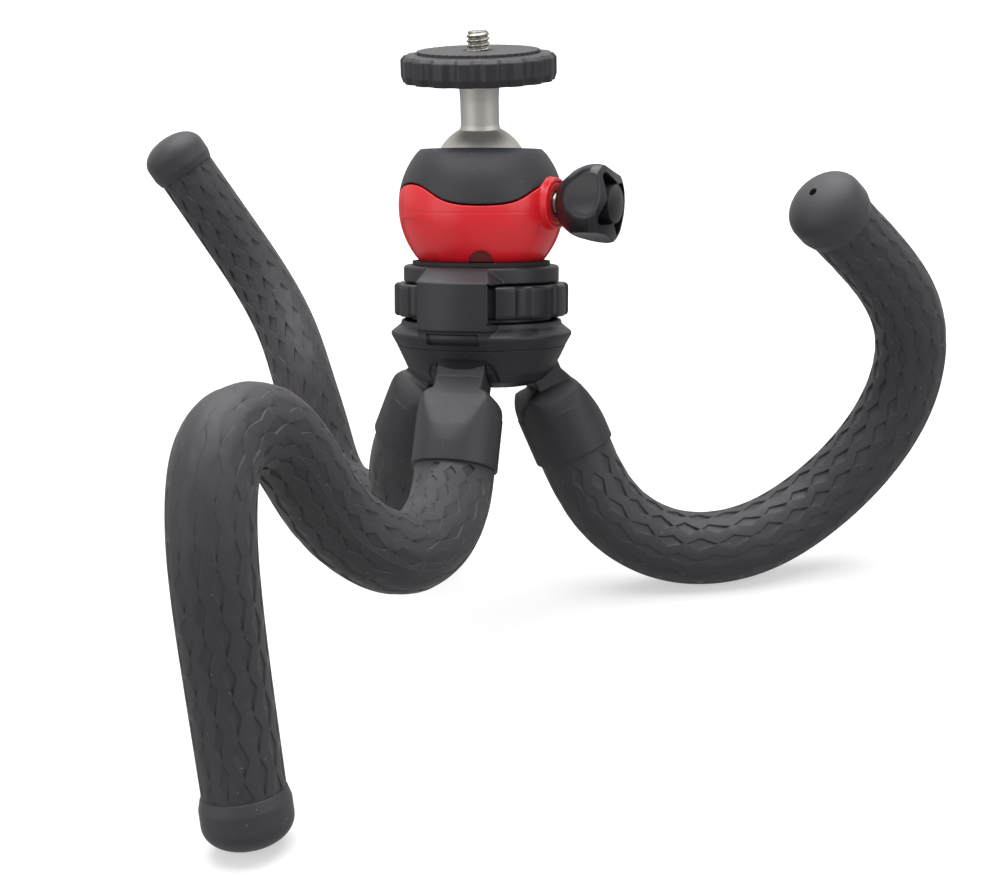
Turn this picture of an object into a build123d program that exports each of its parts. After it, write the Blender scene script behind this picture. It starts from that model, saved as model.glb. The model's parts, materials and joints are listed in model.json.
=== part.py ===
from build123d import *
import math
import os

os.makedirs("parts", exist_ok=True)

# Everything is drawn in the hub's own frame first: Z along the hub's axis, zero at the seam between
# the hub's shell and its bowl, X to the right and Y away from the front. The last step leans the
# whole tripod back to the way it stands and lifts it on to the floor.

# clearances
running_gap = 0.075         # round a screw or pin that turns in a hole
face_gap = 0.1              # between flat faces that turn on each other
ball_gap = 0.3              # round the ball, and round curved faces on different bodies
seam_gap = 0.4              # the dark groove round the red shell's edge
overrun = 1.0               # how far a cutting shape passes the face it cuts

# standing pose
lean_back = 9.905          # degrees, hub away from the front
lean_side = 5.67            # degrees, hub towards the right

# hub
front_leg_azimuth = -15.5   # degrees from the front, to the right
leg_count = 3
seam_radius = 23.1
bowl_depth = 10.8
bowl_profile_shares = [     # of the seam's radius and the bowl's depth
    (0.61, 1.0), (0.76, 0.85), (0.87, 0.61), (0.92, 0.37), (1.0, 0.0),
]
skirt_radius = 24.6
skirt_height = 2.7
skirt_band = 0.7
skirt_neck_radius = 21.9
skirt_neck_height = 5.8
shell_step_radius = 21.6
shell_step_drop = 0.2       # below the pedestal's top
pedestal_radius = 20.6
pedestal_height = 7.0
collar_radius = 21.1
collar_height = 21.5
top_plate = 4.4
panel_azimuths = [-18.5, 180.0]     # degrees from the front, to the right
panel_radius = 25.5
panel_half_angle = 23.0
panel_foot_rise = 1.5       # from the skirt's edge to the panel's face
panel_brow_drop = 3.9       # from the hub's top to the panel's brow
hub_screw_bore = 4.0

# thumb wheel and the screw it carries
wheel_radius = 23.7
wheel_lobes = 14
wheel_first_groove = -61.0  # degrees from +X
wheel_groove_radius = 3.3
wheel_groove_depth = 1.1
wheel_bevel = 1.2
wheel_window_gap = 0.4
wheel_washer_thickness = 0.8
wheel_washer_radius = 19.0
screw_radius = 3.175        # quarter-inch camera thread, drawn at its crest
flange_radius = 7.0
flange_thickness = 3.0
spigot_radius = 4.0
spigot_length = 5.0
screw_end_gap = 1.0         # from the screw's end to the bottom of its bore

# head
washer_radius = 18.7
washer_bore = 6.5
washer_thickness = 1.0
housing_radius = 22.4
housing_crown = 15.1        # from the housing's centre to its flat top
housing_wall = 2.5
cavity_radius = 17.2
cavity_floor = 3.4
collar_skirt_depth = 6.0
wave_rise = 3.3             # from the housing's centre to the middle of the parting wave
wave_height = 3.0
insert_radius = 5.5
insert_length = 8.2
insert_roof = 1.0
boss_radius = 8.4
seat_radius = 8.3
seat_height = 4.9
seat_base = 1.4             # of the seat, under the ball
ball_radius = 12.7
ball_cover = 6.1            # from the ball's centre to the housing's top
ball_flat = 1.2
stem_radius = 5.17
stem_length = 24.2          # from the ball's centre
stem_flare_radius = 6.1
stem_flare_height = 1.1
stem_bore_depth = 10.4
stud_tilt_front = 9.5       # degrees, top towards the front
stud_tilt_left = 1.2        # degrees, top towards the left

# camera platform
disc_radius = 20.7
disc_thickness = 7.3
disc_lobes = 18
disc_groove_radius = 3.2
disc_groove_depth = 0.9
disc_top_bevel = 1.0
disc_bottom_round = 1.7
pad_radius = 16.3
pad_thickness = 1.0
pad_bed = 0.3
screw_height = 4.9
screw_bevel = 0.6
shank_radius = 2.9          # of the camera screw, below the pad's face
clip_thickness = 0.8
clip_radius = 4.1
clip_depth = 8.0

# locking knob, on an axis that points right and forwards
knob_azimuth = 62.0         # degrees from the front, to the right
knob_rise = 0.6             # above the housing's centre
knob_radius = 11.1
knob_length = 14.6
knob_profile_shares = [     # of the knob's radius and length, along a lobe
    (0.55, 0.0), (0.82, 0.27), (0.96, 0.52), (1.0, 0.74), (0.95, 0.86),
]
knob_lobes = 4
knob_lobe_angle = 30.0      # degrees from straight up, towards the front
knob_facet_radius = 24.0
knob_facet_depth = 2.5
knob_pocket_depth = 2.4
knob_pocket_inner = 3.8
knob_pocket_inner_half = 3.2
knob_pocket_outer = 8.6
knob_pocket_outer_half = 1.3
cap_radius = 5.0
cap_rise = 0.9
cap_sink = 2.0
stud_radius = 3.0           # M6
stud_cover = 4.5            # of the knob, past the stud's end
plug_radius = 3.4
plug_start = 9.3            # from the hub's axis
plug_length = 6.9
plug_travel = 1.2
bush_radius = 4.6
bush_nose = 3.3             # of the plug, in front of the bush
bush_counterbore_gap = 0.2
boss_lid = 2.8              # of the red boss, over the bush
knob_boss_radius = 7.5
knob_boss_rise = 0.9        # past the housing's ball
knob_stand_off = 1.9        # from the boss to the knob

# leg sockets
pivot_radius = 15.6
pivot_depth = 5.2
leg_names = ["front", "right", "rear"]
leg_splays = [22.0, 24.0, 29.0]
slot_angles = [0.0, 15.0, 30.0]     # degrees from straight down, over the hinge's whole swing
tongue_width = 13.1
tongue_thickness = 8.4
tongue_side_gap = 0.3
tongue_length = 9.0
knuckle_gap = 0.25
socket_length = 27.5
socket_radius = 11.4
shoulder_start = 7.0
shoulder_length = 6.0
shoulder_profile_shares = [         # of the socket's radius and the shoulder's length
    (0.0, 0.0), (0.58, 0.0), (0.78, 0.17), (0.92, 0.48), (1.0, 1.0),
]
socket_bore_radius = 9.6
socket_bore_length = 11.5
core_seat_length = 6.0
pin_radius = 1.5
pin_length = 19.4

# legs: sleeve radii at the socket and at the foot, and the line each sleeve follows, whose points
# are shares of the sleeve's length, counted from the middle of the socket's rim
sleeve_length = 185.0
sleeve_radius = 10.5
sleeve_end_radius = 9.15
core_radius = 3.0
bend_shares = [0.20, 0.50, 0.80]    # of the sleeve's length, from the socket
bend_probe_share = 0.06             # how far to each side a bend's plane is read
end_pull_share = 0.6
sleeve_gap = 0.3
core_gap = 2.4
foot_radius = 10.2
foot_lip = 0.35             # of the foot's edge, beyond the sleeve
foot_taper = 2.5
foot_skirt = 6.0
foot_dome = 6.6
foot_bore_depth = 5.0
foot_hole_radius = 1.1
foot_hole_depth = 3.0
leg_line_shares = {
    "front": [
        (-0.014, -0.0764, -0.06), (-0.0674, -0.17, -0.0854), (-0.1393, -0.224, -0.0351),
        (-0.1804, -0.2824, 0.0427), (-0.2183, -0.351, 0.1076), (-0.2539, -0.4229, 0.1038),
        (-0.2637, -0.477, 0.0303), (-0.2588, -0.4824, -0.0724), (-0.2501, -0.4694, -0.1778),
        (-0.2349, -0.4694, -0.3047),
    ],
    "right": [
        (0.0571, -0.0054, -0.0956), (0.142, -0.0103, -0.1448), (0.2512, -0.0135, -0.1415),
        (0.3576, 0.0049, -0.0897), (0.4355, 0.0005, -0.0118), (0.4847, -0.02, 0.0822),
        (0.4874, -0.0627, 0.1844), (0.4414, -0.1097, 0.266), (0.3567, -0.174, 0.3455),
    ],
    "rear": [
        (-0.019, 0.0712, -0.0949), (-0.0374, 0.1528, -0.1473), (-0.0807, 0.2409, -0.1527),
        (-0.1455, 0.3079, -0.1257), (-0.1807, 0.3403, -0.0408), (-0.2099, 0.3603, 0.0516),
        (-0.2428, 0.402, 0.1359), (-0.2888, 0.4306, 0.2181), (-0.3423, 0.4306, 0.3008),
        (-0.4155, 0.4089, 0.4144),
    ],
}

UP = Vector(0, 0, 1)
seam_centre = Vector(0, 0, 0)


def bearing(azimuth):
    """Level direction at so many degrees from the front, to the right."""
    a = math.radians(azimuth)
    return Vector(math.sin(a), -math.cos(a), 0)


def cylinder(radius, low, high, x=0, y=0):
    return Pos(x, y, low) * Cylinder(
        radius, high - low, align=(Align.CENTER, Align.CENTER, Align.MIN)
    )


def turned(points):
    """A solid of revolution about Z from (radius, height) corners."""
    outline = Polyline(*[(r, 0, z) for r, z in points], close=True)
    return revolve(make_face(outline), Axis.Z, 360)


def ring(outer, inner, low, high):
    return cylinder(outer, low, high) - cylinder(inner, low - overrun, high + overrun)


def along(direction, origin, side=None):
    """The place whose Z runs along a direction."""
    return Plane(origin=origin, x_dir=side, z_dir=direction).location


def spaced(shape, count, first=0):
    """Copies of a shape round Z."""
    return [Rot(0, 0, first + 360 / count * i) * shape for i in range(count)]


def sector(radius, half_angle, low, high, azimuth):
    """A wedge about Z, centred on a bearing."""
    reach = radius / math.cos(math.radians(half_angle))
    a, b = bearing(azimuth - half_angle), bearing(azimuth + half_angle)
    wedge = Polyline((0, 0, low), tuple(a * reach + UP * low), tuple(b * reach + UP * low), close=True)
    return extrude(make_face(wedge), high - low, dir=(0, 0, 1))


# levels, upwards from the seam, each stacked on the one below
wheel_washer_top = pedestal_height + wheel_washer_thickness
wheel_low = wheel_washer_top + face_gap
wheel_high = collar_height - top_plate - wheel_window_gap
washer_low = collar_height + face_gap
washer_high = washer_low + washer_thickness
head_low = washer_high + face_gap
floor_top = head_low + cavity_floor
insert_high = head_low + insert_length
insert_bore_high = insert_high - insert_roof / 2
boss_high = insert_high + insert_roof
seat_low = boss_high + face_gap
ball_centre_height = seat_low + seat_base + ball_gap + ball_radius
housing_top_height = ball_centre_height + ball_cover
housing_centre_height = housing_top_height - housing_crown
wave_mid_height = housing_centre_height + wave_rise
knob_height = housing_centre_height + knob_rise

# distances outwards from the hub's axis along the knob's axis
plug_end = plug_start + plug_length
bush_start = plug_start + bush_nose
bush_counterbore_end = plug_end + plug_travel + bush_counterbore_gap
knob_boss_end = housing_radius + knob_boss_rise
bush_end = knob_boss_end - boss_lid
knob_start = knob_boss_end + knob_stand_off
knob_end = knob_start + knob_length
stud_start = plug_end + face_gap
stud_end = knob_end - stud_cover

pieces = {}
frames = {}
leg_azimuths = [front_leg_azimuth + 360 / leg_count * i for i in range(leg_count)]

# leg places: pivot, hinge line, and the way the socket points
leg_place = {}
for name, azimuth, splay in zip(leg_names, leg_azimuths, leg_splays):
    out = bearing(azimuth)
    across = UP.cross(out)
    s = math.radians(splay)
    down = out * math.sin(s) - UP * math.cos(s)
    pivot = out * pivot_radius - UP * pivot_depth
    leg_place[name] = (pivot, across, down)
    frames["hinge_" + name] = (pivot, across)

# hub bowl, with a slot for each leg's tongue and a hole for its pin
bowl_corners = [(seam_radius * r, -bowl_depth * z) for r, z in bowl_profile_shares]
bowl = turned(
    [(0, -bowl_depth)] + bowl_corners
    + [(pedestal_radius, 0), (pedestal_radius, pedestal_height), (0, pedestal_height)]
)
bowl -= cylinder(hub_screw_bore + running_gap, -bowl_depth - overrun, pedestal_height + overrun)
knuckle_radius = tongue_thickness / 2
slot_inner = knuckle_radius + knuckle_gap
slot_width = tongue_width + 2 * tongue_side_gap
slot_reach = bowl_depth + slot_inner
for name in leg_names:
    pivot, across, down = leg_place[name]
    slot = Rot(0, 90, 0) * Cylinder(slot_inner, slot_width)
    for angle in slot_angles:
        slot += Rot(-angle, 0, 0) * Pos(0, 0, slot_reach / 2) * Box(slot_width, 2 * slot_inner, slot_reach)
    pin = along(across, pivot) * Cylinder(pin_radius, pin_length)
    bowl -= along(-UP, pivot, across) * slot
    bowl -= pin
    pieces["hinge_pin_" + name] = pin
pieces["lower_bowl"] = bowl

# hub shell: skirt, two panels and the top plate
shell_step_height = pedestal_height - shell_step_drop
skirt = turned([
    (pedestal_radius, 0), (seam_radius, 0), (skirt_radius, skirt_height),
    (skirt_radius, skirt_height + skirt_band), (skirt_neck_radius, skirt_neck_height),
    (shell_step_radius, shell_step_height),
    (pedestal_radius, shell_step_height),
])
top = turned([
    (0, collar_height - top_plate), (collar_radius, collar_height - top_plate),
    (collar_radius, collar_height - seam_gap), (collar_radius - seam_gap, collar_height),
    (0, collar_height),
])
panel_ring = turned([
    (pedestal_radius, skirt_height), (skirt_radius, skirt_height),
    (panel_radius, skirt_height + panel_foot_rise), (panel_radius, collar_height - panel_brow_drop),
    (collar_radius, collar_height - seam_gap),
    (pedestal_radius, collar_height - seam_gap),
])
shell = skirt + top
for azimuth in panel_azimuths:
    shell += panel_ring & sector(2 * panel_radius, panel_half_angle, 0, collar_height, azimuth)
shell -= cylinder(wheel_radius + wheel_window_gap, shell_step_height, collar_height - top_plate)
shell -= cylinder(screw_radius + running_gap, 0, collar_height + overrun)
pieces["hub_shell"] = shell

# thumb wheel, its nylon washer and its screw
wheel = cylinder(wheel_radius, wheel_low, wheel_high)
wheel = chamfer(wheel.edges().filter_by(GeomType.CIRCLE), wheel_bevel)
groove = cylinder(wheel_groove_radius, wheel_low - overrun, wheel_high + overrun,
                  x=wheel_radius + wheel_groove_radius - wheel_groove_depth)
wheel -= spaced(groove, wheel_lobes, wheel_first_groove)
wheel -= cylinder(spigot_radius, wheel_low - overrun, wheel_high + overrun)
flange_top = wheel_high - face_gap
flange_low = flange_top - flange_thickness
wheel -= cylinder(flange_radius, flange_low, wheel_high + overrun)
pieces["thumb_wheel"] = wheel
pieces["wheel_washer"] = ring(
    wheel_washer_radius, hub_screw_bore + running_gap, pedestal_height, wheel_washer_top
)
pieces["wheel_screw"] = (
    cylinder(spigot_radius, wheel_low - spigot_length, flange_low)
    + cylinder(flange_radius, flange_low, flange_top)
    + cylinder(screw_radius, flange_top, insert_bore_high - screw_end_gap)
)
frames["wheel_turn"] = (seam_centre, UP * -1)

# friction washer between hub and head
pieces["friction_washer"] = ring(washer_radius, washer_bore, washer_low, washer_high)
frames["head_pan"] = (seam_centre, UP)

# head housing: one ball-shaped outside, parted by a wavy line into a red shell and a black collar
outside = Pos(0, 0, housing_centre_height) * Sphere(housing_radius)
outside &= cylinder(2 * housing_radius, head_low, housing_top_height)
half = 2 * housing_radius
wave_rate = wave_height / housing_radius**3
third = half / 3


def wave_solid(shift, direction):
    """All the space above or below the parting surface, which has three waves to the turn."""
    cube = [-(half**3), half**3, -(half**3), half**3]
    square = [half**2, -half * third, -half * third, half**2]
    level = [-half, -third, third, half]
    middle = wave_mid_height + shift
    points = [
        [(x, y, middle - wave_rate * (3 * xx * y - yyy)) for y, yyy in zip(level, cube)]
        for x, xx in zip(level, square)
    ]
    return Solid.extrude(Face.make_bezier_surface(points), UP * direction * 4 * half)


knob_out = bearing(knob_azimuth)
knob_origin = UP * knob_height


def on_knob_axis(shape):
    """A shape drawn along Z from the hub's axis, laid along the knob's axis."""
    return along(knob_out, knob_origin, UP) * shape


inner_radius = housing_radius - housing_wall
collar_low = wave_mid_height - wave_height - collar_skirt_depth
knob_boss = on_knob_axis(cylinder(knob_boss_radius, inner_radius - housing_wall, knob_boss_end))
bush_hole = on_knob_axis(cylinder(bush_radius, 0, bush_end))
stud_hole = on_knob_axis(cylinder(stud_radius + running_gap, 0, knob_boss_end + overrun))

hollow = Pos(0, 0, housing_centre_height) * Sphere(inner_radius)
hollow += cylinder(inner_radius, collar_low, housing_top_height)
hollow &= cylinder(inner_radius, floor_top, housing_top_height + overrun)

red = (outside & wave_solid(-seam_gap / 2, -1)) + knob_boss - hollow
red += cylinder(boss_radius, head_low, boss_high)
red -= cylinder(insert_radius, head_low - overrun, insert_high)
red -= bush_hole + stud_hole - cylinder(boss_radius, head_low, boss_high)
pieces["red_shell"] = red

ball_centre = UP * ball_centre_height
collar = (outside & wave_solid(seam_gap / 2, 1)) + cylinder(inner_radius, collar_low, wave_mid_height)
collar -= cylinder(cavity_radius, collar_low - overrun, ball_centre_height)
collar -= Pos(ball_centre) * Sphere(ball_radius + ball_gap)
collar &= cylinder(2 * housing_radius, collar_low, housing_top_height)
boss_room = on_knob_axis(cylinder(knob_boss_radius + seam_gap / 2, 0, knob_boss_end + overrun))
collar -= boss_room - cylinder(inner_radius, 0, housing_top_height)
collar -= bush_hole
pieces["head_collar"] = collar

insert = cylinder(insert_radius, head_low, insert_high)
insert -= cylinder(screw_radius + running_gap, head_low - overrun, insert_bore_high)
pieces["base_insert"] = insert
bush = cylinder(bush_radius, bush_start, bush_end)
bush -= cylinder(stud_radius + running_gap, 0, bush_end + overrun)
bush -= cylinder(plug_radius + running_gap, 0, bush_counterbore_end)
pieces["knob_bush"] = on_knob_axis(bush)

# ball seat
seat = cylinder(seat_radius, seat_low, seat_low + seat_height)
seat -= Pos(ball_centre) * Sphere(ball_radius + ball_gap)
pieces["ball_seat"] = seat
frames["ball_pan"] = (ball_centre, UP)

# ball stud and camera platform, drawn along Z from the ball's centre
ball = Sphere(ball_radius) & cylinder(2 * ball_radius, -ball_radius + ball_flat, 2 * ball_radius)
stem = ball + cylinder(stem_radius, 0, stem_length)
stem += turned([
    (0, stem_length - 2 * stem_flare_height), (stem_radius, stem_length - 2 * stem_flare_height),
    (stem_flare_radius, stem_length - stem_flare_height), (stem_flare_radius, stem_length),
    (0, stem_length),
])
stem -= cylinder(shank_radius + running_gap, stem_length - stem_bore_depth, stem_length + overrun)
clip_low = stem_length - clip_depth
stem -= cylinder(clip_radius + face_gap, clip_low - face_gap, clip_low + clip_thickness + face_gap)

disc_low = stem_length + face_gap
disc_high = disc_low + disc_thickness
disc = cylinder(disc_radius, disc_low, disc_high)
disc = chamfer(disc.edges().group_by(Axis.Z)[-1], disc_top_bevel)
disc = fillet(disc.edges().group_by(Axis.Z)[0], disc_bottom_round)
scallop = cylinder(disc_groove_radius, disc_low - overrun, disc_high + overrun,
                   x=disc_radius + disc_groove_radius - disc_groove_depth)
disc -= spaced(scallop, disc_lobes)
disc -= cylinder(pad_radius, disc_high - pad_bed, disc_high + overrun)
disc -= cylinder(shank_radius, disc_low - overrun, disc_high + overrun)
pad_top = disc_high - pad_bed + pad_thickness
pad = ring(pad_radius, screw_radius + running_gap, disc_high - pad_bed, pad_top)
screw_top = pad_top + screw_height
clip = ring(clip_radius, shank_radius - clip_thickness / 2, clip_low, clip_low + clip_thickness)
camera_screw = cylinder(screw_radius, pad_top, screw_top)
camera_screw = chamfer(camera_screw.edges().group_by(Axis.Z)[-1], screw_bevel)
camera_screw += cylinder(shank_radius, stem_length - stem_bore_depth + face_gap, pad_top)
camera_screw -= clip

stud_place = Pos(ball_centre) * Rot(stud_tilt_front, -stud_tilt_left, 0)
stud_axis = (stud_place * Pos(0, 0, 1)).position - ball_centre
pieces["ball_stud"] = stud_place * stem
pieces["locking_disc"] = stud_place * disc
pieces["rubber_pad"] = stud_place * pad
pieces["camera_screw"] = stud_place * camera_screw
pieces["screw_clip"] = stud_place * clip
frames["ball_tilt"] = (ball_centre, stud_axis.cross(UP).normalized())
frames["disc_turn"] = (ball_centre, stud_axis)
frames["pad_top"] = (ball_centre + stud_axis * pad_top, stud_axis)
frames["screw_mid"] = (ball_centre + stud_axis * (pad_top + (screw_height - screw_bevel) / 2), stud_axis)

# locking knob
knob_line = [(knob_radius * r, knob_start + knob_length * z) for r, z in knob_profile_shares]
outline = Curve() + [
    Line((0, knob_start), knob_line[0]), Spline(knob_line), Line(knob_line[-1], (cap_radius, knob_end)),
    Line((cap_radius, knob_end), (0, knob_end)), Line((0, knob_end), (0, knob_start)),
]
knob = revolve(Rot(90, 0, 0) * make_face(outline), Axis.Z, 360)
facet = cylinder(knob_facet_radius, knob_start - overrun, knob_end + overrun,
                 x=knob_radius + knob_facet_radius - knob_facet_depth)
knob -= spaced(facet, knob_lobes, knob_lobe_angle + 180 / knob_lobes)
pocket_floor = knob_end - knob_pocket_depth
pocket = make_face(Polyline(
    (knob_pocket_inner, -knob_pocket_inner_half, pocket_floor),
    (knob_pocket_outer, -knob_pocket_outer_half, pocket_floor),
    (knob_pocket_outer, knob_pocket_outer_half, pocket_floor),
    (knob_pocket_inner, knob_pocket_inner_half, pocket_floor),
    close=True,
))
pocket = extrude(pocket, knob_pocket_depth + overrun, dir=(0, 0, 1))
pocket -= cylinder(cap_radius, pocket_floor - overrun, knob_end + 2 * overrun)
knob -= spaced(pocket, knob_lobes, knob_lobe_angle)
knob -= cylinder(cap_radius, knob_end - cap_sink, knob_end + overrun)
knob -= cylinder(stud_radius, knob_start - overrun, stud_end)
dome_radius = (cap_radius**2 + cap_rise**2) / (2 * cap_rise)
cap = cylinder(cap_radius, knob_end - cap_sink, knob_end)
cap += Pos(0, 0, knob_end + cap_rise - dome_radius) * Sphere(dome_radius) & cylinder(
    cap_radius, knob_end, knob_end + cap_rise + overrun
)
pieces["lock_knob"] = on_knob_axis(knob)
pieces["knob_cap"] = on_knob_axis(cap)
pieces["knob_stud"] = on_knob_axis(cylinder(stud_radius, stud_start, stud_end))
plug = on_knob_axis(cylinder(plug_radius, plug_start, plug_end))
plug -= Pos(ball_centre) * Sphere(ball_radius + ball_gap)
pieces["clamp_plug"] = plug
frames["plug_slide"] = (knob_origin, knob_out)
frames["knob_turn"] = (knob_origin, knob_out)

# legs
bend_count = len(bend_shares)
foot_tip = foot_skirt + foot_dome
outline = Curve() + [
    Line((0, 0), (sleeve_end_radius + foot_lip, 0)),
    Line((sleeve_end_radius + foot_lip, 0), (foot_radius, foot_taper)),
    Line((foot_radius, foot_taper), (foot_radius, foot_skirt)),
    EllipticalCenterArc((0, foot_skirt), foot_radius, foot_dome, 0, arc_size=90),
    Line((0, foot_tip), (0, 0)),
]
foot = revolve(Rot(90, 0, 0) * make_face(outline), Axis.Z, 360)
foot -= cylinder(sleeve_end_radius, -overrun, foot_bore_depth)
foot -= cylinder(foot_hole_radius, foot_tip - foot_hole_depth, foot_tip + overrun)


def tube(line, share_from, share_to, radius_from, radius_to):
    """A round rod along part of a line, with its radius changing evenly."""
    path = line.trim(share_from, share_to)
    if radius_from == radius_to:
        return sweep(Plane(origin=path @ 0, z_dir=path % 0) * Circle(radius_from), path=path)
    ends = []
    for at, radius in ((0, radius_from), (1, radius_to)):
        ends.append(Plane(origin=path @ at, z_dir=path % at) * Circle(radius))
    return sweep(ends, path=path, multisection=True)


def sleeve_radius_at(share):
    return sleeve_radius + (sleeve_end_radius - sleeve_radius) * share


for name in leg_names:
    pivot, across, down = leg_place[name]
    place = along(down, pivot, across)
    knuckle = Rot(0, 90, 0) * Cylinder(knuckle_radius, tongue_width)
    tongue = Pos(0, 0, tongue_length / 2) * Box(tongue_width, tongue_thickness, tongue_length)
    shoulder_line = [
        (socket_radius * r, shoulder_start + shoulder_length * z) for r, z in shoulder_profile_shares
    ]
    body = turned(shoulder_line + [(socket_radius, socket_length), (0, socket_length)])
    socket = knuckle + tongue + body
    cup_floor = socket_length - socket_bore_length
    socket -= cylinder(socket_bore_radius, cup_floor, socket_length + overrun)
    socket -= cylinder(core_radius, cup_floor - core_seat_length, cup_floor + overrun)
    socket -= Rot(0, 90, 0) * Cylinder(pin_radius + running_gap, tongue_width + overrun)
    pieces["leg_socket_" + name] = place * socket

    rim = pivot + down * socket_length
    points = [rim] + [rim + Vector(*shares) * sleeve_length for shares in leg_line_shares[name]]
    line = Spline(points, tangents=(down, points[-1] - points[-2]), tangent_scalars=(1, end_pull_share))
    length = line.length
    print("sleeve", name, round(length, 1))
    cuts = [0] + bend_shares + [1]
    for i in range(bend_count + 1):
        first, last = i == 0, i == bend_count
        a = cuts[i] + (0 if first else sleeve_gap / 2 / length)
        b = cuts[i + 1] - (0 if last else sleeve_gap / 2 / length)
        sleeve = tube(line, a, b, sleeve_radius_at(a), sleeve_radius_at(b))
        ca = cuts[i] + (0 if first else core_gap / 2 / length)
        cb = cuts[i + 1] - (0 if last else core_gap / 2 / length)
        core = tube(line, ca, cb, core_radius, core_radius)
        bore = tube(line, a, b, core_radius, core_radius)
        if first:
            root = place * cylinder(socket_bore_radius, cup_floor, socket_length)
            sleeve += root
            core += place * cylinder(core_radius, cup_floor - core_seat_length, socket_length)
            bore += place * cylinder(core_radius, cup_floor - core_seat_length, socket_length)
        if last:
            end = along(line % 1, line @ 1)
            sleeve += end * cylinder(sleeve_end_radius, 0, foot_bore_depth)
            core += end * cylinder(core_radius, 0, foot_bore_depth)
            bore += end * cylinder(core_radius, 0, foot_bore_depth)
            pieces["foot_" + name] = end * foot
            frames["foot_" + name] = (line @ 1, line % 1)
        pieces["sleeve_%s_%d" % (name, i + 1)] = sleeve - bore
        pieces["core_%s_%d" % (name, i + 1)] = core
    for i, share in enumerate(bend_shares):
        here = line @ share
        before, after = line % (share - bend_probe_share), line % (share + bend_probe_share)
        frames["bend_%s_%d" % (name, i + 1)] = (here, before.cross(after).normalized())
        frames["tangent_%s_%d" % (name, i + 1)] = (here, line % share)

# stand it: lean the hub, then put the lowest point on the floor and the middle over the origin
lean = Rot(-lean_back, 0, 0) * Rot(0, lean_side, 0)
boxes = [(lean * shape).bounding_box() for shape in pieces.values()]
low = [min(getattr(b.min, axis) for b in boxes) for axis in "XYZ"]
high = [max(getattr(b.max, axis) for b in boxes) for axis in "XYZ"]
stand = Pos(-(low[0] + high[0]) / 2, -(low[1] + high[1]) / 2, -low[2]) * lean
print("hub seam centre", *(round(v, 3) for v in stand.position))
print("overall", *(round(b - a, 2) for a, b in zip(low, high)))

for name, shape in pieces.items():
    solids = (stand * shape).solids()
    whole = solids[0] if len(solids) == 1 else Compound(children=solids)
    if len(solids) != 1:
        print("solids", name, len(solids))
    whole.label = name
    export_step(whole, "parts/" + name + ".step")
for name in ("foot_front", "sleeve_right_2", "sleeve_rear_2"):
    print("lowest", name, round((stand * pieces[name]).bounding_box().min.Z, 3))
for name, (point, axis) in frames.items():
    p = (stand * Pos(point)).position
    q = (stand * Pos(point + axis)).position - p
    print("frame", name, *(round(v, 4) for v in p), *(round(v, 6) for v in q.normalized()))
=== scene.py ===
import json
import math
import bpy
import bmesh
import numpy as np
from mathutils import Matrix, Vector


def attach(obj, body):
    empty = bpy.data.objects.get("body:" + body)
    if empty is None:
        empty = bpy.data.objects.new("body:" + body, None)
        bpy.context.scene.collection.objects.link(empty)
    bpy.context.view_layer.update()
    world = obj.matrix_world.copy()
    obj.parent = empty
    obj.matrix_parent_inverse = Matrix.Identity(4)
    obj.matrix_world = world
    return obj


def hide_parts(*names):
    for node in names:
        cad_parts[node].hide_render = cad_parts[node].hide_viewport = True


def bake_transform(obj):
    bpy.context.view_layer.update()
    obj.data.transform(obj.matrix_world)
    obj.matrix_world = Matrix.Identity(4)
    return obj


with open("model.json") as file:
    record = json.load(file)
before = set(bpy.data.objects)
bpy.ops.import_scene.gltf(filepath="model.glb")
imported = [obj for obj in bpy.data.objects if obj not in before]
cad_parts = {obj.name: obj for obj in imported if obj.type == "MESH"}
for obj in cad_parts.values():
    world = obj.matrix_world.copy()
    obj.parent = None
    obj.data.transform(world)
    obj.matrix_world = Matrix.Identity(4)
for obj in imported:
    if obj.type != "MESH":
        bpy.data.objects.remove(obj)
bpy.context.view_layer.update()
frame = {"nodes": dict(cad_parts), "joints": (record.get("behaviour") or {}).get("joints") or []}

joints = {joint["name"]: joint for joint in frame["joints"]}
mm = 0.001
legNames = ("front", "right", "rear")
print("frame loaded with", len(frame["nodes"]), "nodes")


# places come from the joints; shapes are drawn in millimetres along a Z of their own
def axisOf(joint):
    return Vector(joints[joint]["axis"]).normalized()


def pointOf(joint):
    return Vector(joints[joint]["pos_m"])


def standing(origin, up, side):
    z = up.normalized()
    y = z.cross(side).normalized()
    turn = Matrix((y.cross(z), y, z)).transposed().to_4x4()
    return Matrix.Translation(origin) @ turn @ Matrix.Scale(mm, 4)


hubUp = axisOf("head_pan")
lean = (Matrix.Rotation(-math.atan2(hubUp.y, hubUp.z), 3, "X")
        @ Matrix.Rotation(math.asin(hubUp.x), 3, "Y"))
hubRight = lean @ Vector((1, 0, 0))
hubPlace = standing(pointOf("head_pan"), hubUp, hubRight)
studPlace = standing(pointOf("disc_turn"), axisOf("disc_turn"), hubRight)
knobPlace = standing(pointOf("knob_turn"), axisOf("knob_turn"), hubUp)
rowPlace = Matrix.Scale(mm, 4)


# colours and nodes
def linear(hexCode):
    parts = [int(hexCode[i:i + 2], 16) / 255 for i in (1, 3, 5)]
    return tuple(c / 12.92 if c < 0.04045 else ((c + 0.055) / 1.055) ** 2.4 for c in parts) + (1,)


def addNode(tree, kind, settings=None, inputs=None):
    node = tree.nodes.new("ShaderNode" + kind)
    for key, value in (settings or {}).items():
        setattr(node, key, value)
    for key, value in (inputs or {}).items():
        if isinstance(value, bpy.types.NodeSocket):
            tree.links.new(value, node.inputs[key])
        else:
            node.inputs[key].default_value = value
    return node


def blankMaterial(name):
    material = bpy.data.materials.new(name)
    material.use_nodes = True
    material.node_tree.nodes.clear()
    return material, material.node_tree


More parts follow.
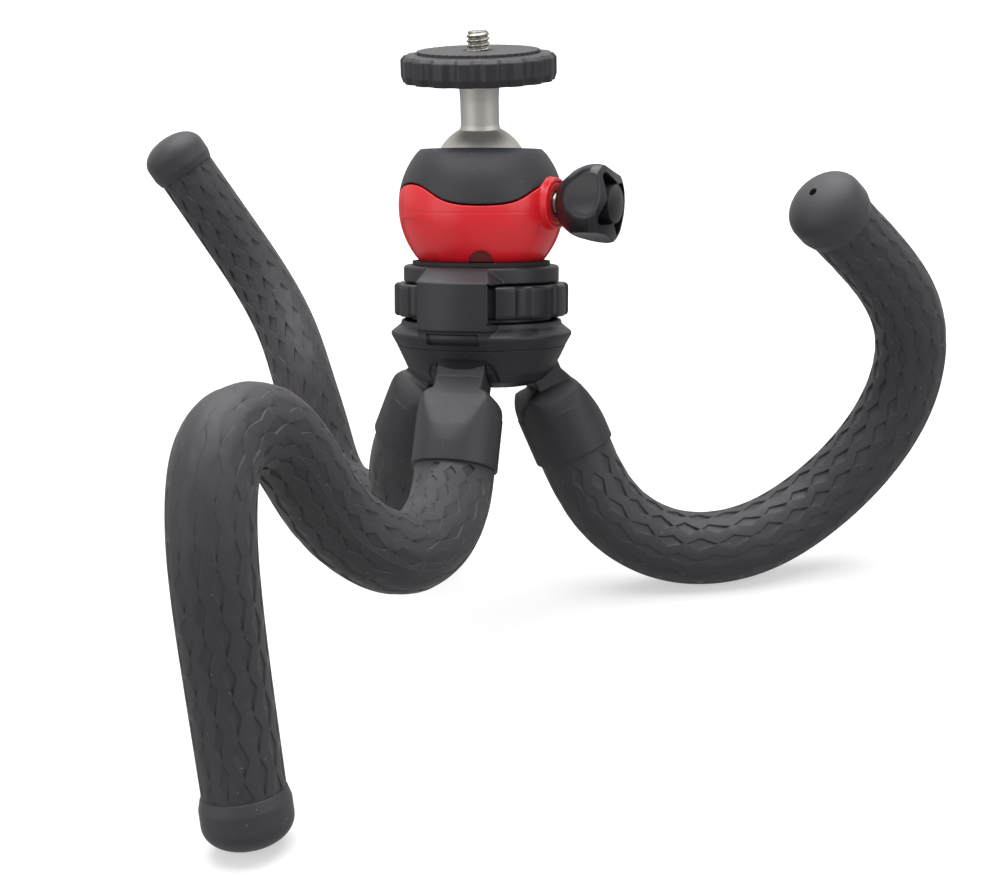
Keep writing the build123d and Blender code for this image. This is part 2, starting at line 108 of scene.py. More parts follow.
surface = {
    "mottleDetail": 3.0,
    "mottleRough": 0.6,
    "mottleBand": (0.3, 0.7),   # of the noise, over which the gloss changes
    "grainDetail": 2.0,
    "dustColour": "#b9b7b2",
    "dustCore": 0.035,          # shares of the gap between specks
    "dustEdge": 0.075,
    "sheenRough": 0.45,
}


def mouldedSurface(name, look):
    # one recipe for moulded and turned surfaces: soft mottling, dust, a grain in the mould, uneven gloss
    material, tree = blankMaterial(name)
    here = addNode(tree, "TexCoord").outputs["Object"]
    mottle = addNode(tree, "TexNoise", {"noise_dimensions": "3D"},
                     {"Vector": here, "Scale": 1 / (look["mottleSize"] * mm),
                      "Detail": surface["mottleDetail"], "Roughness": surface["mottleRough"]})
    shade = addNode(tree, "Mix", {"data_type": "RGBA"},
                    {"Factor": mottle.outputs["Fac"], "A": linear(look["dark"]), "B": linear(look["light"])})
    colour = shade.outputs["Result"]
    if look.get("dust"):
        speck = addNode(tree, "TexVoronoi", {"feature": "F1"},
                        {"Vector": here, "Scale": 1 / (look["dustGap"] * mm), "Randomness": 1.0})
        near = addNode(tree, "MapRange", {"clamp": True},
                       {"Value": speck.outputs["Distance"], "From Min": surface["dustCore"],
                        "From Max": surface["dustEdge"], "To Min": look["dust"], "To Max": 0.0})
        some = addNode(tree, "SeparateColor", None, {"Color": speck.outputs["Color"]})
        picked = addNode(tree, "Math", {"operation": "MULTIPLY"},
                         {0: near.outputs["Result"], 1: some.outputs["Red"]})
        dusty = addNode(tree, "Mix", {"data_type": "RGBA"},
                        {"Factor": picked.outputs["Value"], "A": colour, "B": linear(surface["dustColour"])})
        colour = dusty.outputs["Result"]
    grain = addNode(tree, "TexNoise", None,
                    {"Vector": here, "Scale": 1 / (look["grainSize"] * mm),
                     "Detail": surface["grainDetail"]})
    relief = addNode(tree, "Bump", None,
                     {"Height": grain.outputs["Fac"], "Strength": look["grainStrength"],
                      "Distance": look["grainDepth"] * mm})
    gloss = addNode(tree, "MapRange", None,
                    {"Value": mottle.outputs["Fac"],
                     "From Min": surface["mottleBand"][0], "From Max": surface["mottleBand"][1],
                     "To Min": look["rough"] - look["roughSwing"],
                     "To Max": look["rough"] + look["roughSwing"]})
    shader = addNode(tree, "BsdfPrincipled", None,
                     {"Base Color": colour, "Roughness": gloss.outputs["Result"],
                      "Normal": relief.outputs["Normal"], "Metallic": look.get("metallic", 0.0)})
    if not look.get("metallic"):
        shader.inputs["IOR"].default_value = look.get("ior", 1.5)
    if look.get("sheen"):
        shader.inputs["Sheen Weight"].default_value = look["sheen"]
        shader.inputs["Sheen Roughness"].default_value = surface["sheenRough"]
    if look.get("coat"):
        shader.inputs["Coat Weight"].default_value = look["coat"]
        shader.inputs["Coat Roughness"].default_value = look["coatRough"]
    addNode(tree, "OutputMaterial", None, {"Surface": shader.outputs["BSDF"]})
    return material


def sleeveRubber():
    # thermoplastic rubber, moulded: dull dark grey, a faint sheen at its edges, dust in the grain
    return mouldedSurface("moulded_rubber_sleeve", {
        "dark": "#2d2d32", "light": "#373739", "mottleSize": 7.0, "dust": 0.5, "dustGap": 2.6,
        "grainSize": 0.5, "grainStrength": 0.35, "grainDepth": 0.05, "rough": 0.56, "roughSwing": 0.05,
        "sheen": 0.12})


def footRubber():
    # the same rubber in a smooth mould: a softer, more even sheen
    return mouldedSurface("moulded_rubber_foot", {
        "dark": "#2f2f33", "light": "#38383c", "mottleSize": 5.0, "dust": 0.45, "dustGap": 2.4,
        "grainSize": 0.4, "grainStrength": 0.3, "grainDepth": 0.04, "rough": 0.55, "roughSwing": 0.04,
        "sheen": 0.12})


def socketNylon():
    # glass-filled nylon, moulded: satin with a speckled spark-eroded grain
    return mouldedSurface("moulded_nylon_socket", {
        "dark": "#28282c", "light": "#343438", "mottleSize": 1.6, "dust": 0.35, "dustGap": 2.2,
        "grainSize": 0.45, "grainStrength": 0.4, "grainDepth": 0.04, "rough": 0.47, "roughSwing": 0.05})


def hubAbs():
    # ABS, moulded with a fine matt texture: near black, cool, a broad soft highlight
    return mouldedSurface("moulded_abs_hub", {
        "dark": "#1f1f24", "light": "#27272c", "mottleSize": 4.0, "dust": 0.3, "dustGap": 2.8,
        "grainSize": 0.35, "grainStrength": 0.3, "grainDepth": 0.03, "rough": 0.42, "roughSwing": 0.04})


def wheelNylon():
    # nylon, moulded smooth: darker and a little glossier than the shell round it
    return mouldedSurface("moulded_nylon_wheel", {
        "dark": "#16171b", "light": "#1e1f23", "mottleSize": 3.0, "dust": 0.2, "dustGap": 3.0,
        "grainSize": 0.4, "grainStrength": 0.2, "grainDepth": 0.02, "rough": 0.34, "roughSwing": 0.04})


def redAbs():
    # ABS coloured through, moulded in a polished tool: saturated red with a soft gloss
    return mouldedSurface("moulded_abs_red", {
        "dark": "#df1522", "light": "#e81d2a", "mottleSize": 9.0, "dust": 0.15, "dustGap": 3.0,
        "grainSize": 0.8, "grainStrength": 0.12, "grainDepth": 0.02, "rough": 0.33, "roughSwing": 0.03,
        "ior": 1.54, "coat": 0.15, "coatRough": 0.18})


def collarAbs():
    # ABS, moulded with a fine matt texture: greys strongly where it faces the light above
    return mouldedSurface("moulded_abs_collar", {
        "dark": "#26262b", "light": "#313136", "mottleSize": 2.2, "dust": 0.4, "dustGap": 2.4,
        "grainSize": 0.3, "grainStrength": 0.35, "grainDepth": 0.03, "rough": 0.46, "roughSwing": 0.04})


def discNylon():
    # nylon, moulded: blue-black satin, pale dust specks spread over it
    return mouldedSurface("moulded_nylon_disc", {
        "dark": "#212228", "light": "#2c2d34", "mottleSize": 2.5, "dust": 0.45, "dustGap": 2.0,
        "grainSize": 0.35, "grainStrength": 0.3, "grainDepth": 0.03, "rough": 0.4, "roughSwing": 0.05})


def padRubber():
    # rubber, moulded with a coarse grain that grips the camera: grey specks on black
    return mouldedSurface("moulded_rubber_pad", {
        "dark": "#19191b", "light": "#565553", "mottleSize": 0.4, "dust": 0.4, "dustGap": 1.2,
        "grainSize": 0.5, "grainStrength": 0.9, "grainDepth": 0.12, "rough": 0.6, "roughSwing": 0.08})


def knobAbs():
    # ABS, moulded in a polished tool: black, with clear soft reflections
    return mouldedSurface("moulded_abs_knob", {
        "dark": "#1e1e21", "light": "#26262a", "mottleSize": 4.0, "dust": 0.3, "dustGap": 2.6,
        "grainSize": 0.5, "grainStrength": 0.12, "grainDepth": 0.02, "rough": 0.3, "roughSwing": 0.04})


def satinNickel():
    # brass, turned, bead blasted and nickel plated: an even satin with a very fine grain
    return mouldedSurface("satin_nickel", {
        "dark": "#d0cdc7", "light": "#dad7d2", "mottleSize": 1.0, "metallic": 1.0,
        "grainSize": 0.25, "grainStrength": 0.3, "grainDepth": 0.02, "rough": 0.52, "roughSwing": 0.03})


def zincSteel():
    # steel, rolled thread, zinc plated: bright on the crests
    return mouldedSurface("zinc_plated_steel", {
        "dark": "#928f88", "light": "#aeaba4", "mottleSize": 0.8, "metallic": 1.0,
        "grainSize": 0.4, "grainStrength": 0.15, "grainDepth": 0.01, "rough": 0.34, "roughSwing": 0.04})


def brass():
    # brass, turned: warm and bright, with faint turning marks
    return mouldedSurface("turned_brass", {
        "dark": "#b8914a", "light": "#cba85f", "mottleSize": 1.0, "metallic": 1.0,
        "grainSize": 0.3, "grainStrength": 0.2, "grainDepth": 0.01, "rough": 0.3, "roughSwing": 0.05})


def aluminium():
    # soft aluminium wire, drawn: dull silver
    return mouldedSurface("drawn_aluminium", {
        "dark": "#b4b5b7", "light": "#c9cacc", "mottleSize": 0.9, "metallic": 1.0,
        "grainSize": 0.3, "grainStrength": 0.2, "grainDepth": 0.01, "rough": 0.4, "roughSwing": 0.05})


def naturalNylon():
    # unfilled nylon, moulded: milky and waxy
    return mouldedSurface("natural_nylon", {
        "dark": "#d8d5c8", "light": "#e4e1d6", "mottleSize": 2.0,
        "grainSize": 0.4, "grainStrength": 0.2, "grainDepth": 0.02, "rough": 0.45, "roughSwing": 0.05})


def washerRubber():
    # rubber sheet, die cut: dead matt black
    return mouldedSurface("cut_rubber_washer", {
        "dark": "#1b1b1d", "light": "#232325", "mottleSize": 1.5, "dust": 0.3, "dustGap": 2.0,
        "grainSize": 0.4, "grainStrength": 0.4, "grainDepth": 0.03, "rough": 0.7, "roughSwing": 0.05})


materials = {
    "sleeve_rubber": sleeveRubber(), "foot_rubber": footRubber(), "socket_plastic": socketNylon(),
    "hub_plastic": hubAbs(), "wheel_plastic": wheelNylon(), "red_plastic": redAbs(),
    "collar_plastic": collarAbs(), "disc_plastic": discNylon(), "pad_rubber": padRubber(),
    "knob_plastic": knobAbs(), "nickel": satinNickel(), "steel": zincSteel(), "brass": brass(),
    "core_aluminium": aluminium(), "nylon": naturalNylon(), "washer_rubber": washerRubber(),
}
print("materials made:", len(materials))


# mesh helpers
def softLine(corners, steps=6):
    # a line through (radius, height, rounding) corners, each rounded by its own radius
    line = []
    for k, (radius, height, rounding) in enumerate(corners):
        here = np.array((radius, height), float)
        if rounding == 0 or k in (0, len(corners) - 1):
            line.append(here)
            continue
        before = np.array(corners[k - 1][:2], float) - here
        after = np.array(corners[k + 1][:2], float) - here
        before /= np.linalg.norm(before)
        after /= np.linalg.norm(after)
        reach = rounding / math.tan(math.acos(np.clip(before @ after, -1, 1)) / 2)
        for t in np.linspace(0, 1, steps + 1):
            line.append(here + before * reach * (1 - t) ** 2 + after * reach * t ** 2)
    return np.array(line)


def denser(line, step):
    # the same line with more points, none further apart than a step
    points = [line[0]]
    for a, b in zip(line[:-1], line[1:]):
        count = max(1, math.ceil(np.linalg.norm(b - a) / step))
        points += [a + (b - a) * (i + 1) / count for i in range(count)]
    return np.array(points)


def ringsFrom(radius, height, azimuth):
    return np.stack([radius * np.sin(azimuth), -radius * np.cos(azimuth), height], axis=-1)


def turned(line, around, warp=None):
    # radius and height pairs turned round Z; azimuth is zero at the front and grows to the right
    azimuth = np.linspace(0, 2 * np.pi, around, endpoint=False)[None, :]
    radius = np.repeat(line[:, :1], around, axis=1)
    height = np.repeat(line[:, 1:2], around, axis=1)
    if warp:
        radius, height = warp(radius, height, azimuth)
    return ringsFrom(radius, height + 0 * azimuth, azimuth)


def smoothStep(value, low, high):
    t = np.clip((value - low) / (high - low), 0, 1)
    return t * t * (3 - 2 * t)


def turnBetween(azimuth, centre):
    # radians from a bearing, between minus and plus half a turn
    return (azimuth - centre + np.pi) % (2 * np.pi) - np.pi


def meshPiece(name, points, faces, crease=30, place=rowPlace):
    matrix = np.array(place)
    points = points @ matrix[:3, :3].T + matrix[:3, 3]
    mesh = bpy.data.meshes.new(name)
    mesh.from_pydata(points.tolist(), [], faces)
    return settled(bpy.data.objects.new(name, mesh), crease)


def settled(piece, crease):
    # normals outwards, smooth faces, and a crease where two faces meet at more than so many degrees
    work = bmesh.new()
    work.from_mesh(piece.data)
    bmesh.ops.delete(work, geom=[v for v in work.verts if not v.link_faces], context="VERTS")
    bmesh.ops.recalc_face_normals(work, faces=work.faces)
    work.to_mesh(piece.data)
    work.free()
    piece.data.polygons.foreach_set("use_smooth", [True] * len(piece.data.polygons))
    piece.data.set_sharp_from_angle(angle=math.radians(crease))
    if piece.name not in bpy.context.scene.collection.objects:
        bpy.context.scene.collection.objects.link(piece)
    return piece


def quadStrip(rows, around, looped):
    i, j = np.meshgrid(np.arange(rows if looped else rows - 1), np.arange(around), indexing="ij")
    up = (i + 1) % rows
    next_ = (j + 1) % around
    corners = [i * around + j, i * around + next_, up * around + next_, up * around + j]
    return np.stack(corners, axis=-1).reshape(-1, 4).tolist()


def skin(name, rings, place, ends="closed", crease=30):
    # a surface through rings; its ends are closed by fans, left open, or looped to each other
    rows, around = rings.shape[:2]
    points = rings.reshape(-1, 3)
    faces = quadStrip(rows, around, ends == "looped")
    if ends == "closed":
        points = np.vstack([points, rings[0].mean(0), rings[-1].mean(0)])
        for row, centre in ((0, rows * around), (rows - 1, rows * around + 1)):
            faces += [[row * around + j, row * around + (j + 1) % around, centre] for j in range(around)]
    return meshPiece(name, points, faces, crease, place)


def joined(name, pieces, crease=30):
    # several meshes as one
    work = bmesh.new()
    for piece in pieces:
        work.from_mesh(piece.data)
        bpy.data.objects.remove(piece)
    mesh = bpy.data.meshes.new(name)
    work.to_mesh(mesh)
    work.free()
    return settled(bpy.data.objects.new(name, mesh), crease)


def carved(piece, cutters, crease=30):
    for cutter in cutters:
        cut = piece.modifiers.new("cut", "BOOLEAN")
        cut.operation = "DIFFERENCE"
        cut.solver = "EXACT"
        cut.object = cutter
    bpy.context.view_layer.update()
    result = bpy.data.meshes.new_from_object(piece.evaluated_get(bpy.context.evaluated_depsgraph_get()))
    piece.modifiers.clear()
    piece.data = result
    for cutter in cutters:
        bpy.data.objects.remove(cutter)
    return settled(piece, crease)


def dressed(piece, body, slot, *nodes):
    piece.data.materials.clear()
    piece.data.materials.append(materials[slot])
    if nodes:
        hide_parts(*nodes)
    if body:
        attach(piece, body)
    return piece


# legs: sleeve, socket and foot
sleeve = {
    "length": 185.0,            # of the line that the shares below are counted in
    "startRadius": 10.5,
    "endRadius": 9.15,
    "endPull": 0.6,
    "columns": 14,              # chains of pits round the leg
    "pitLength": 9.4,
    "pitHalfWidth": 1.85,
    "pitDepth": 0.6,
    "pitSwing": 0.3,            # share of its width that is left to chance
    "cornerSwing": 0.16,        # share of its length
    "pitWall": 0.25,
    "pitEdge": 0.05,
    "pitEnd": 0.03,             # share of its length that is whole rubber at each end
    "pitStart": 0.45,           # share of its depth at the lower end
    "pitFloor": (1.0, 0.8, 0.4),    # share of its depth at the left, in the middle and at the right
    "foldGain": 1.3,            # pits deepen on the inside of a bend and go flat on the outside
    "foldLimits": (0.5, 2.2),
    "chanceSeed": 5,
    "pitShoulders": ((0.36, 0.62), (0.5, 0.36)),   # shares of its length: left and right corner, by column
    "bareRows": (-0.3, 0, 0.6, 1.2),
    "bareStart": 1.8,
    "rowsPerPit": 20,
    "crown": 0.06,              # of a scale's middle over its edges
    "seamRise": 0.13,
    "seamWidth": 0.34,
    "splitShares": (0.0, 0.35, 0.65, 1.0),
    "bendShares": (0.2, 0.5, 0.8),
    "bendReach": 12.0,          # to each side of a joint
    "seamColumns": {"front": 0, "right": 3, "rear": 7},
    "crease": 28,
}
legLineShares = {
    "front": [
        (-0.014, -0.0764, -0.06), (-0.0674, -0.17, -0.0854), (-0.1393, -0.224, -0.0351),
        (-0.1804, -0.2824, 0.0427), (-0.2183, -0.351, 0.1076), (-0.2539, -0.4229, 0.1038),
        (-0.2637, -0.477, 0.0303), (-0.2588, -0.4824, -0.0724), (-0.2501, -0.4694, -0.1778),
        (-0.2349, -0.4694, -0.3047),
    ],
    "right": [
        (0.0571, -0.0054, -0.0956), (0.142, -0.0103, -0.1448), (0.2512, -0.0135, -0.1415),
        (0.3576, 0.0049, -0.0897), (0.4355, 0.0005, -0.0118), (0.4847, -0.02, 0.0822),
        (0.4874, -0.0627, 0.1844), (0.4414, -0.1097, 0.266), (0.3567, -0.174, 0.3455),
    ],
    "rear": [
        (-0.019, 0.0712, -0.0949), (-0.0374, 0.1528, -0.1473), (-0.0807, 0.2409, -0.1527),
        (-0.1455, 0.3079, -0.1257), (-0.1807, 0.3403, -0.0408), (-0.2099, 0.3603, 0.0516),
        (-0.2428, 0.402, 0.1359), (-0.2888, 0.4306, 0.2181), (-0.3423, 0.4306, 0.3008),
        (-0.4155, 0.4089, 0.4144),
    ],
}
socket = {
    "length": 27.5,
    "radius": 11.4,
    "halfWidth": 6.55,
    "halfThickness": 4.2,
    "shoulder": ((7.0, 6.6), (7.4, 7.8), (8.6, 8.9), (10.3, 10.2), (11.6, 10.9), (13.5, 11.4)),
    "facet": ((3.5, 4.3), (6.0, 5.5), (9.0, 7.0), (12.6, 8.5), (18.0, 10.4), (22.5, 11.5)),
    "cornerPower": 24,          # higher is sharper
    "rimRound": 0.35,
    "rimInset": 0.88,           # share of the radius at which the end meets the sleeve
    "rimBand": 1.0,
    "rows": (14, 76, 3, 5),     # knuckle, barrel, band and rim
    "around": 256,
    "crease": 40,
}
foot = {
    "radius": 10.2,
    "lip": 0.35,
    "taper": 2.5,
    "skirt": 6.0,
    "dome": 6.6,
    "holeRadius": 1.1,
    "holeDepth": 3.0,
    "holeLip": 0.05,
    "squareness": 2.15,
    "tuck": 0.6,                # inside the sleeve's end
    "around": 112,
    "rowStep": 0.7,
    "crease": 50,
}


def legOut(name):
    return axisOf(name + "_hinge").cross(hubUp)


def legDown(name):
    splay = math.radians(joints[name + "_hinge"]["range_deg"][1])
    return legOut(name) * math.sin(splay) - hubUp * math.cos(splay)


def clampedLine(points, startWay, endWay, steps=60):
    # the smooth line through the points, with a given way at both ends, as the wire in the leg bends
    count = len(points)
    gaps = np.linalg.norm(np.diff(points, axis=0), axis=1)
    system = np.eye(count)
    wanted = np.zeros((count, 3))
    wanted[0], wanted[-1] = startWay, endWay
    for i in range(1, count - 1):
        system[i, i - 1:i + 2] = gaps[i], 2 * (gaps[i - 1] + gaps[i]), gaps[i - 1]
        wanted[i] = 3 * (gaps[i] * (points[i] - points[i - 1]) / gaps[i - 1]
                         + gaps[i - 1] * (points[i + 1] - points[i]) / gaps[i])
    ways = np.linalg.solve(system, wanted)
    line = []
    for i in range(count - 1):
        t = np.linspace(0, 1, steps, endpoint=i == count - 2)[:, None]
        line.append((2 * t ** 3 - 3 * t ** 2 + 1) * points[i] + (t ** 3 - 2 * t ** 2 + t) * gaps[i] * ways[i]
                    + (3 * t ** 2 - 2 * t ** 3) * points[i + 1] + (t ** 3 - t ** 2) * gaps[i] * ways[i + 1])
    return np.vstack(line)


class LegLine:
    def __init__(self, name):
        down = legDown(name)
        rim = pointOf(name + "_hinge") / mm + down * socket["length"]
        shares = [lean @ Vector(share) for share in legLineShares[name]]
        points = np.array([rim] + [rim + share * sleeve["length"] for share in shares])
        endWay = points[-1] - points[-2]
        self.line = clampedLine(points, np.array(down), endWay / np.linalg.norm(endWay) * sleeve["endPull"])
        gaps = np.linalg.norm(np.diff(self.line, axis=0), axis=1)
        self.run = np.concatenate([[0], np.cumsum(gaps)])
        self.length = self.run[-1]
        ways = np.gradient(self.line, self.run, axis=0)
        self.ways = ways / np.linalg.norm(ways, axis=1)[:, None]
        self.bends = np.gradient(self.ways, self.run, axis=0)
        self.side = np.array(axisOf(name + "_hinge"))

    def at(self, values, distance):
        return np.stack([np.interp(distance, self.run, values[:, k]) for k in range(3)], axis=1)

    def frames(self, distance):
        # middle, way, two level sides carried along without twist, and the bend, at each distance
        way = self.at(self.ways, distance)
        way /= np.linalg.norm(way, axis=1)[:, None]
        middle = self.at(self.line, distance) + np.minimum(distance, 0)[:, None] * way
        sides = []
        side = self.side
        for w in way:
            side = side - (side @ w) * w
            side = side / np.linalg.norm(side)
            sides.append(side)
        sides = np.array(sides)
        return middle, way, sides, np.cross(way, sides), self.at(self.bends, distance)


def sleeveRings(name, leg):
    pits = round((leg.length - sleeve["bareStart"]) / sleeve["pitLength"])
    pitLength = (leg.length - sleeve["bareStart"]) / pits
    rows = np.arange(pits * sleeve["rowsPerPit"] + 1)
    patterned = sleeve["bareStart"] + rows * pitLength / sleeve["rowsPerPit"]
    distance = np.concatenate([sleeve["bareRows"], patterned])
    middle, way, side, other, bend = leg.frames(distance)
    share = np.clip(distance / leg.length, 0, 1)
    radius = sleeve["startRadius"] + (sleeve["endRadius"] - sleeve["startRadius"]) * share
    columns = np.arange(sleeve["columns"])
    pitch = 2 * np.pi / sleeve["columns"]
    turns = (distance[:, None] - sleeve["bareStart"]) / pitLength - 0.5 * (columns % 2)
    phase = turns % 1
    chance = np.random.default_rng(legNames.index(name) + sleeve["chanceSeed"])
    swing = 1 + sleeve["pitSwing"] * (chance.random((pits + 2, sleeve["columns"])) - 0.5)
    drift = sleeve["cornerSwing"] * (chance.random((2, pits + 2, sleeve["columns"])) - 0.5)
    whole = np.clip(np.floor(turns).astype(int), 0, pits + 1)
    widest = sleeve["pitHalfWidth"] * np.take_along_axis(swing, whole, axis=0) * (radius / radius[0])[:, None]
    edge, end = sleeve["pitEdge"], sleeve["pitEnd"]
    halves = []
    for part in (0, 1):
        corner = np.array([sleeve["pitShoulders"][c % 2][part] for c in columns])
        corner = corner + np.take_along_axis(drift[part], whole, axis=0)
        rising = (phase - end) / (corner - end)
        falling = (1 - end - phase) / (1 - end - corner)
        half = np.clip(np.minimum(rising, falling), 0, 1) * widest
        halves.append(np.where(turns < 0, 0, half))
    left, right = halves
    wall = sleeve["pitWall"]
    # a scale laps over the next one: each pit is deepest at its far left and runs out to the right
    lap = sleeve["pitStart"] + (1 - sleeve["pitStart"]) * phase
    sink = sleeve["pitDepth"] * np.clip(np.minimum(left, right) / wall, 0, 1) * lap
    centre = columns * pitch
    zero = np.zeros_like(left)
    halfPitch = zero + radius[:, None] * pitch / 2
    offsets = [-halfPitch, -left - edge, -np.maximum(left - wall, edge / 2), zero,
               np.maximum(right - wall, edge / 2), right + edge]
    sinks = [zero - sleeve["crown"], zero, *(sink * part for part in sleeve["pitFloor"]), zero]
    angle = np.stack([centre + offset / radius[:, None] for offset in offsets], axis=-1)
    deep = np.stack(sinks, axis=-1)
    angle = angle.reshape(len(distance), -1)
    deep = deep.reshape(len(distance), -1)
    at = len(offsets) * sleeve["seamColumns"][name]
    width = sleeve["seamWidth"] / 2 / radius[:, None]
    ridge = angle[:, at:at + 1]
    angle = np.hstack([angle[:, :at], ridge - width, ridge, ridge + width, angle[:, at + 1:]])
    flat = deep[:, at:at + 1]
    deep = np.hstack([deep[:, :at], flat, flat - sleeve["seamRise"], flat, deep[:, at + 1:]])
    out = np.cos(angle)[..., None] * side[:, None, :] + np.sin(angle)[..., None] * other[:, None, :]
    squeeze = np.einsum("rk,rck->rc", bend, out) * radius[:, None]
    deep = np.where(deep > 0, deep * np.clip(1 + sleeve["foldGain"] * squeeze, *sleeve["foldLimits"]), deep)
    reach = radius[:, None] - deep
    rings = middle[:, None, :] + out * reach[..., None]
    return rings, share, squeeze


def makeSleeve(name, leg):
    rings, share, squeeze = sleeveRings(name, leg)
    replaced = (("1",), ("2", "3"), ("4",))
    for i in range(3):
        low = int(np.searchsorted(share, sleeve["splitShares"][i], side="right")) - 1 if i else 0
        high = int(np.searchsorted(share, sleeve["splitShares"][i + 1], side="right"))
        part = rings[low:high] if i < 2 else rings[low:]
        piece = skin("sleeve_%s_part_%d" % (name, i + 1), part, rowPlace, crease=sleeve["crease"])
        dressed(piece, None, "sleeve_rubber", *["sleeve_%s_%s" % (name, n) for n in replaced[i]])
        way = Vector(leg.at(leg.ways, np.array([sleeve["bendShares"][i] * leg.length]))[0])
        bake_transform(piece)
        print(piece.name, "tightest bend", round(float(squeeze[low:high].max()), 2))


def makeSocket(name):
    length, band, rim = socket["length"], socket["rimBand"], socket["rimRound"]
    rows = socket["rows"]
    heights = np.concatenate([
        -socket["halfThickness"] * np.cos(np.linspace(0.06, np.pi / 2, rows[0])),
        np.linspace(0, length - band, rows[1])[1:],
        length - band + np.linspace(0, band - rim, rows[2])[1:],
        length - rim * (1 - np.sin(np.linspace(0, np.pi / 2, rows[3])[1:])),
    ])
    drop = np.clip((heights - (length - rim)) / rim, 0, 1)
    barrel = socket["radius"] - rim * (1 - np.sqrt(1 - drop ** 2))
    knuckle = np.sqrt(np.clip(socket["halfThickness"] ** 2 - np.minimum(heights, 0) ** 2, 0.01, None))
    shoulder, facet = np.array(socket["shoulder"]), np.array(socket["facet"])
    # past the shoulder the flat sides stand clear, and only the barrel counts
    free = np.where(heights > shoulder[-1, 0], 2 * socket["radius"], 0)
    across = np.interp(heights, shoulder[:, 0], shoulder[:, 1])
    wide = np.maximum(np.where(heights < shoulder[0, 0], socket["halfWidth"], across), free)
    inner = np.maximum(np.where(heights < shoulder[0, 0], knuckle, across), free)
    outer = np.maximum(knuckle, np.where(heights > 0, np.interp(heights, facet[:, 0], facet[:, 1]), 0))
    azimuth = np.linspace(0, 2 * np.pi, socket["around"], endpoint=False)[None, :]
    power = socket["cornerPower"]
    limits = [barrel[:, None] + 0 * azimuth,
              wide[:, None] / np.maximum(np.abs(np.sin(azimuth)), 1e-3),
              inner[:, None] / np.maximum(np.cos(azimuth), 1e-3),
              outer[:, None] / np.maximum(-np.cos(azimuth), 1e-3)]
    radius = sum(limit ** -power for limit in limits) ** (-1 / power)
    rings = ringsFrom(radius, heights[:, None] + 0 * azimuth, azimuth)
    rings = np.concatenate([rings, rings[-1:] * [socket["rimInset"], socket["rimInset"], 1]])
    place = standing(pointOf(name + "_hinge"), legDown(name), axisOf(name + "_hinge"))
    piece = skin("socket_" + name, rings, place, crease=socket["crease"])
    dressed(piece, name + "_root", "socket_plastic", "leg_socket_" + name)


def makeFoot(name, leg):
    power = foot["squareness"]
    sweep = np.linspace(0, np.pi / 2, 26)
    dome = np.stack([foot["radius"] * np.cos(sweep) ** (2 / power),
                     foot["skirt"] + foot["dome"] * np.sin(sweep) ** (2 / power)], axis=1)
    dome[:, 0] = np.maximum(dome[:, 0], foot["holeRadius"])
    tip = dome[-1, 1]
    dome = dome[dome[:, 0] > foot["holeRadius"]]
    rim = softLine([(sleeve["endRadius"] - foot["tuck"], 0, 0), (sleeve["endRadius"] + foot["lip"], 0, 0.3),
                    (foot["radius"], foot["taper"], 2.5), (foot["radius"], foot["skirt"] - 0.3, 0)])
    bore, floor = foot["holeRadius"], tip - foot["holeDepth"]
    hole = softLine([(bore + 0.3, tip - 0.03, 0), (bore, tip - foot["holeLip"], 0.1),
                     (bore * 0.9, floor, 0), (0.02, floor, 0)], 3)
    rings = turned(denser(np.vstack([rim, dome, hole]), foot["rowStep"]), foot["around"])
    end = Vector(leg.line[-1]) * mm
    place = standing(end, Vector(leg.ways[-1]), axisOf(name + "_hinge"))
    piece = skin("foot_pad_" + name, rings, place, crease=foot["crease"])
    dressed(piece, name + "_tip", "foot_rubber", "foot_" + name)


for name in legNames:
    leg = LegLine(name)
    makeSleeve(name, leg)
    makeSocket(name)
    makeFoot(name, leg)
print("legs made")


# hub: shell with two panels, bowl and thumb wheel
hub = {
    "panelBearings": (-18.5, 180.0),
    "panelHalfAngle": 23.0,
    "panelRadius": 25.5,
    "panelFoot": 5.3,
    "panelBrow": 17.6,
    "seamRadius": 23.1,
    "lipRadius": 24.6,
    "stepRadius": 21.9,
    "stepHeight": 6.8,
    "windowTop": 17.1,
    "collarRadius": 21.1,
    "collarHeight": 21.5,
    "collarRound": 0.9,
    "wall": 20.8,
    "plateBore": 8.0,
    "edgeRound": 0.5,
    "fadeLow": 8.0,             # degrees past the panel over which its foot dies into the lip
    "fadeHigh": 12.0,           # and its brow into the collar
    "notchHalfWidth": 7.2,
    "notchLow": 1.3,
    "notchHigh": 4.3,
    "notchDepth": 0.9,
    "notchEdge": 0.25,
    "lipLow": 2.7,
    "lipHigh": 3.5,
    "coveTop": 5.6,
    "middle": 12.0,             # between a panel's foot and its brow
    "blend": 6.0,               # higher is sharper, where a panel grows out of the shell
    "blendRadius": 23.0,
    "sillShare": 0.8,           # of the edge's round, on the window's own edges
    "rimInset": 0.9,
    "rows": (32, 26, 28),       # below, beside and above the window
    "bearingStep": 0.5,
    "crease": 32,
}
hair = 1e-6
bowl = {
    "depth": 10.8,
    "profileShares": ((0.61, 1.0), (0.76, 0.85), (0.87, 0.61), (0.92, 0.37), (1.0, 0.01)),
    "slotHalfWidth": 6.85,
    "slotRadius": 4.45,
    "slotSwing": 30.0,
    "recessHalfWidths": ((-6.7, 9.4), (-3.6, 8.4)),
    "recessTop": -2.7,
    "recessRound": 2.6,
    "recessDepth": 0.5,
    "recessInner": 12.0,        # it runs out under the bowl from here
    "bore": 5.0,
    "slotReach": 16.0,
    "around": 720,
    "rowStep": 0.4,
}
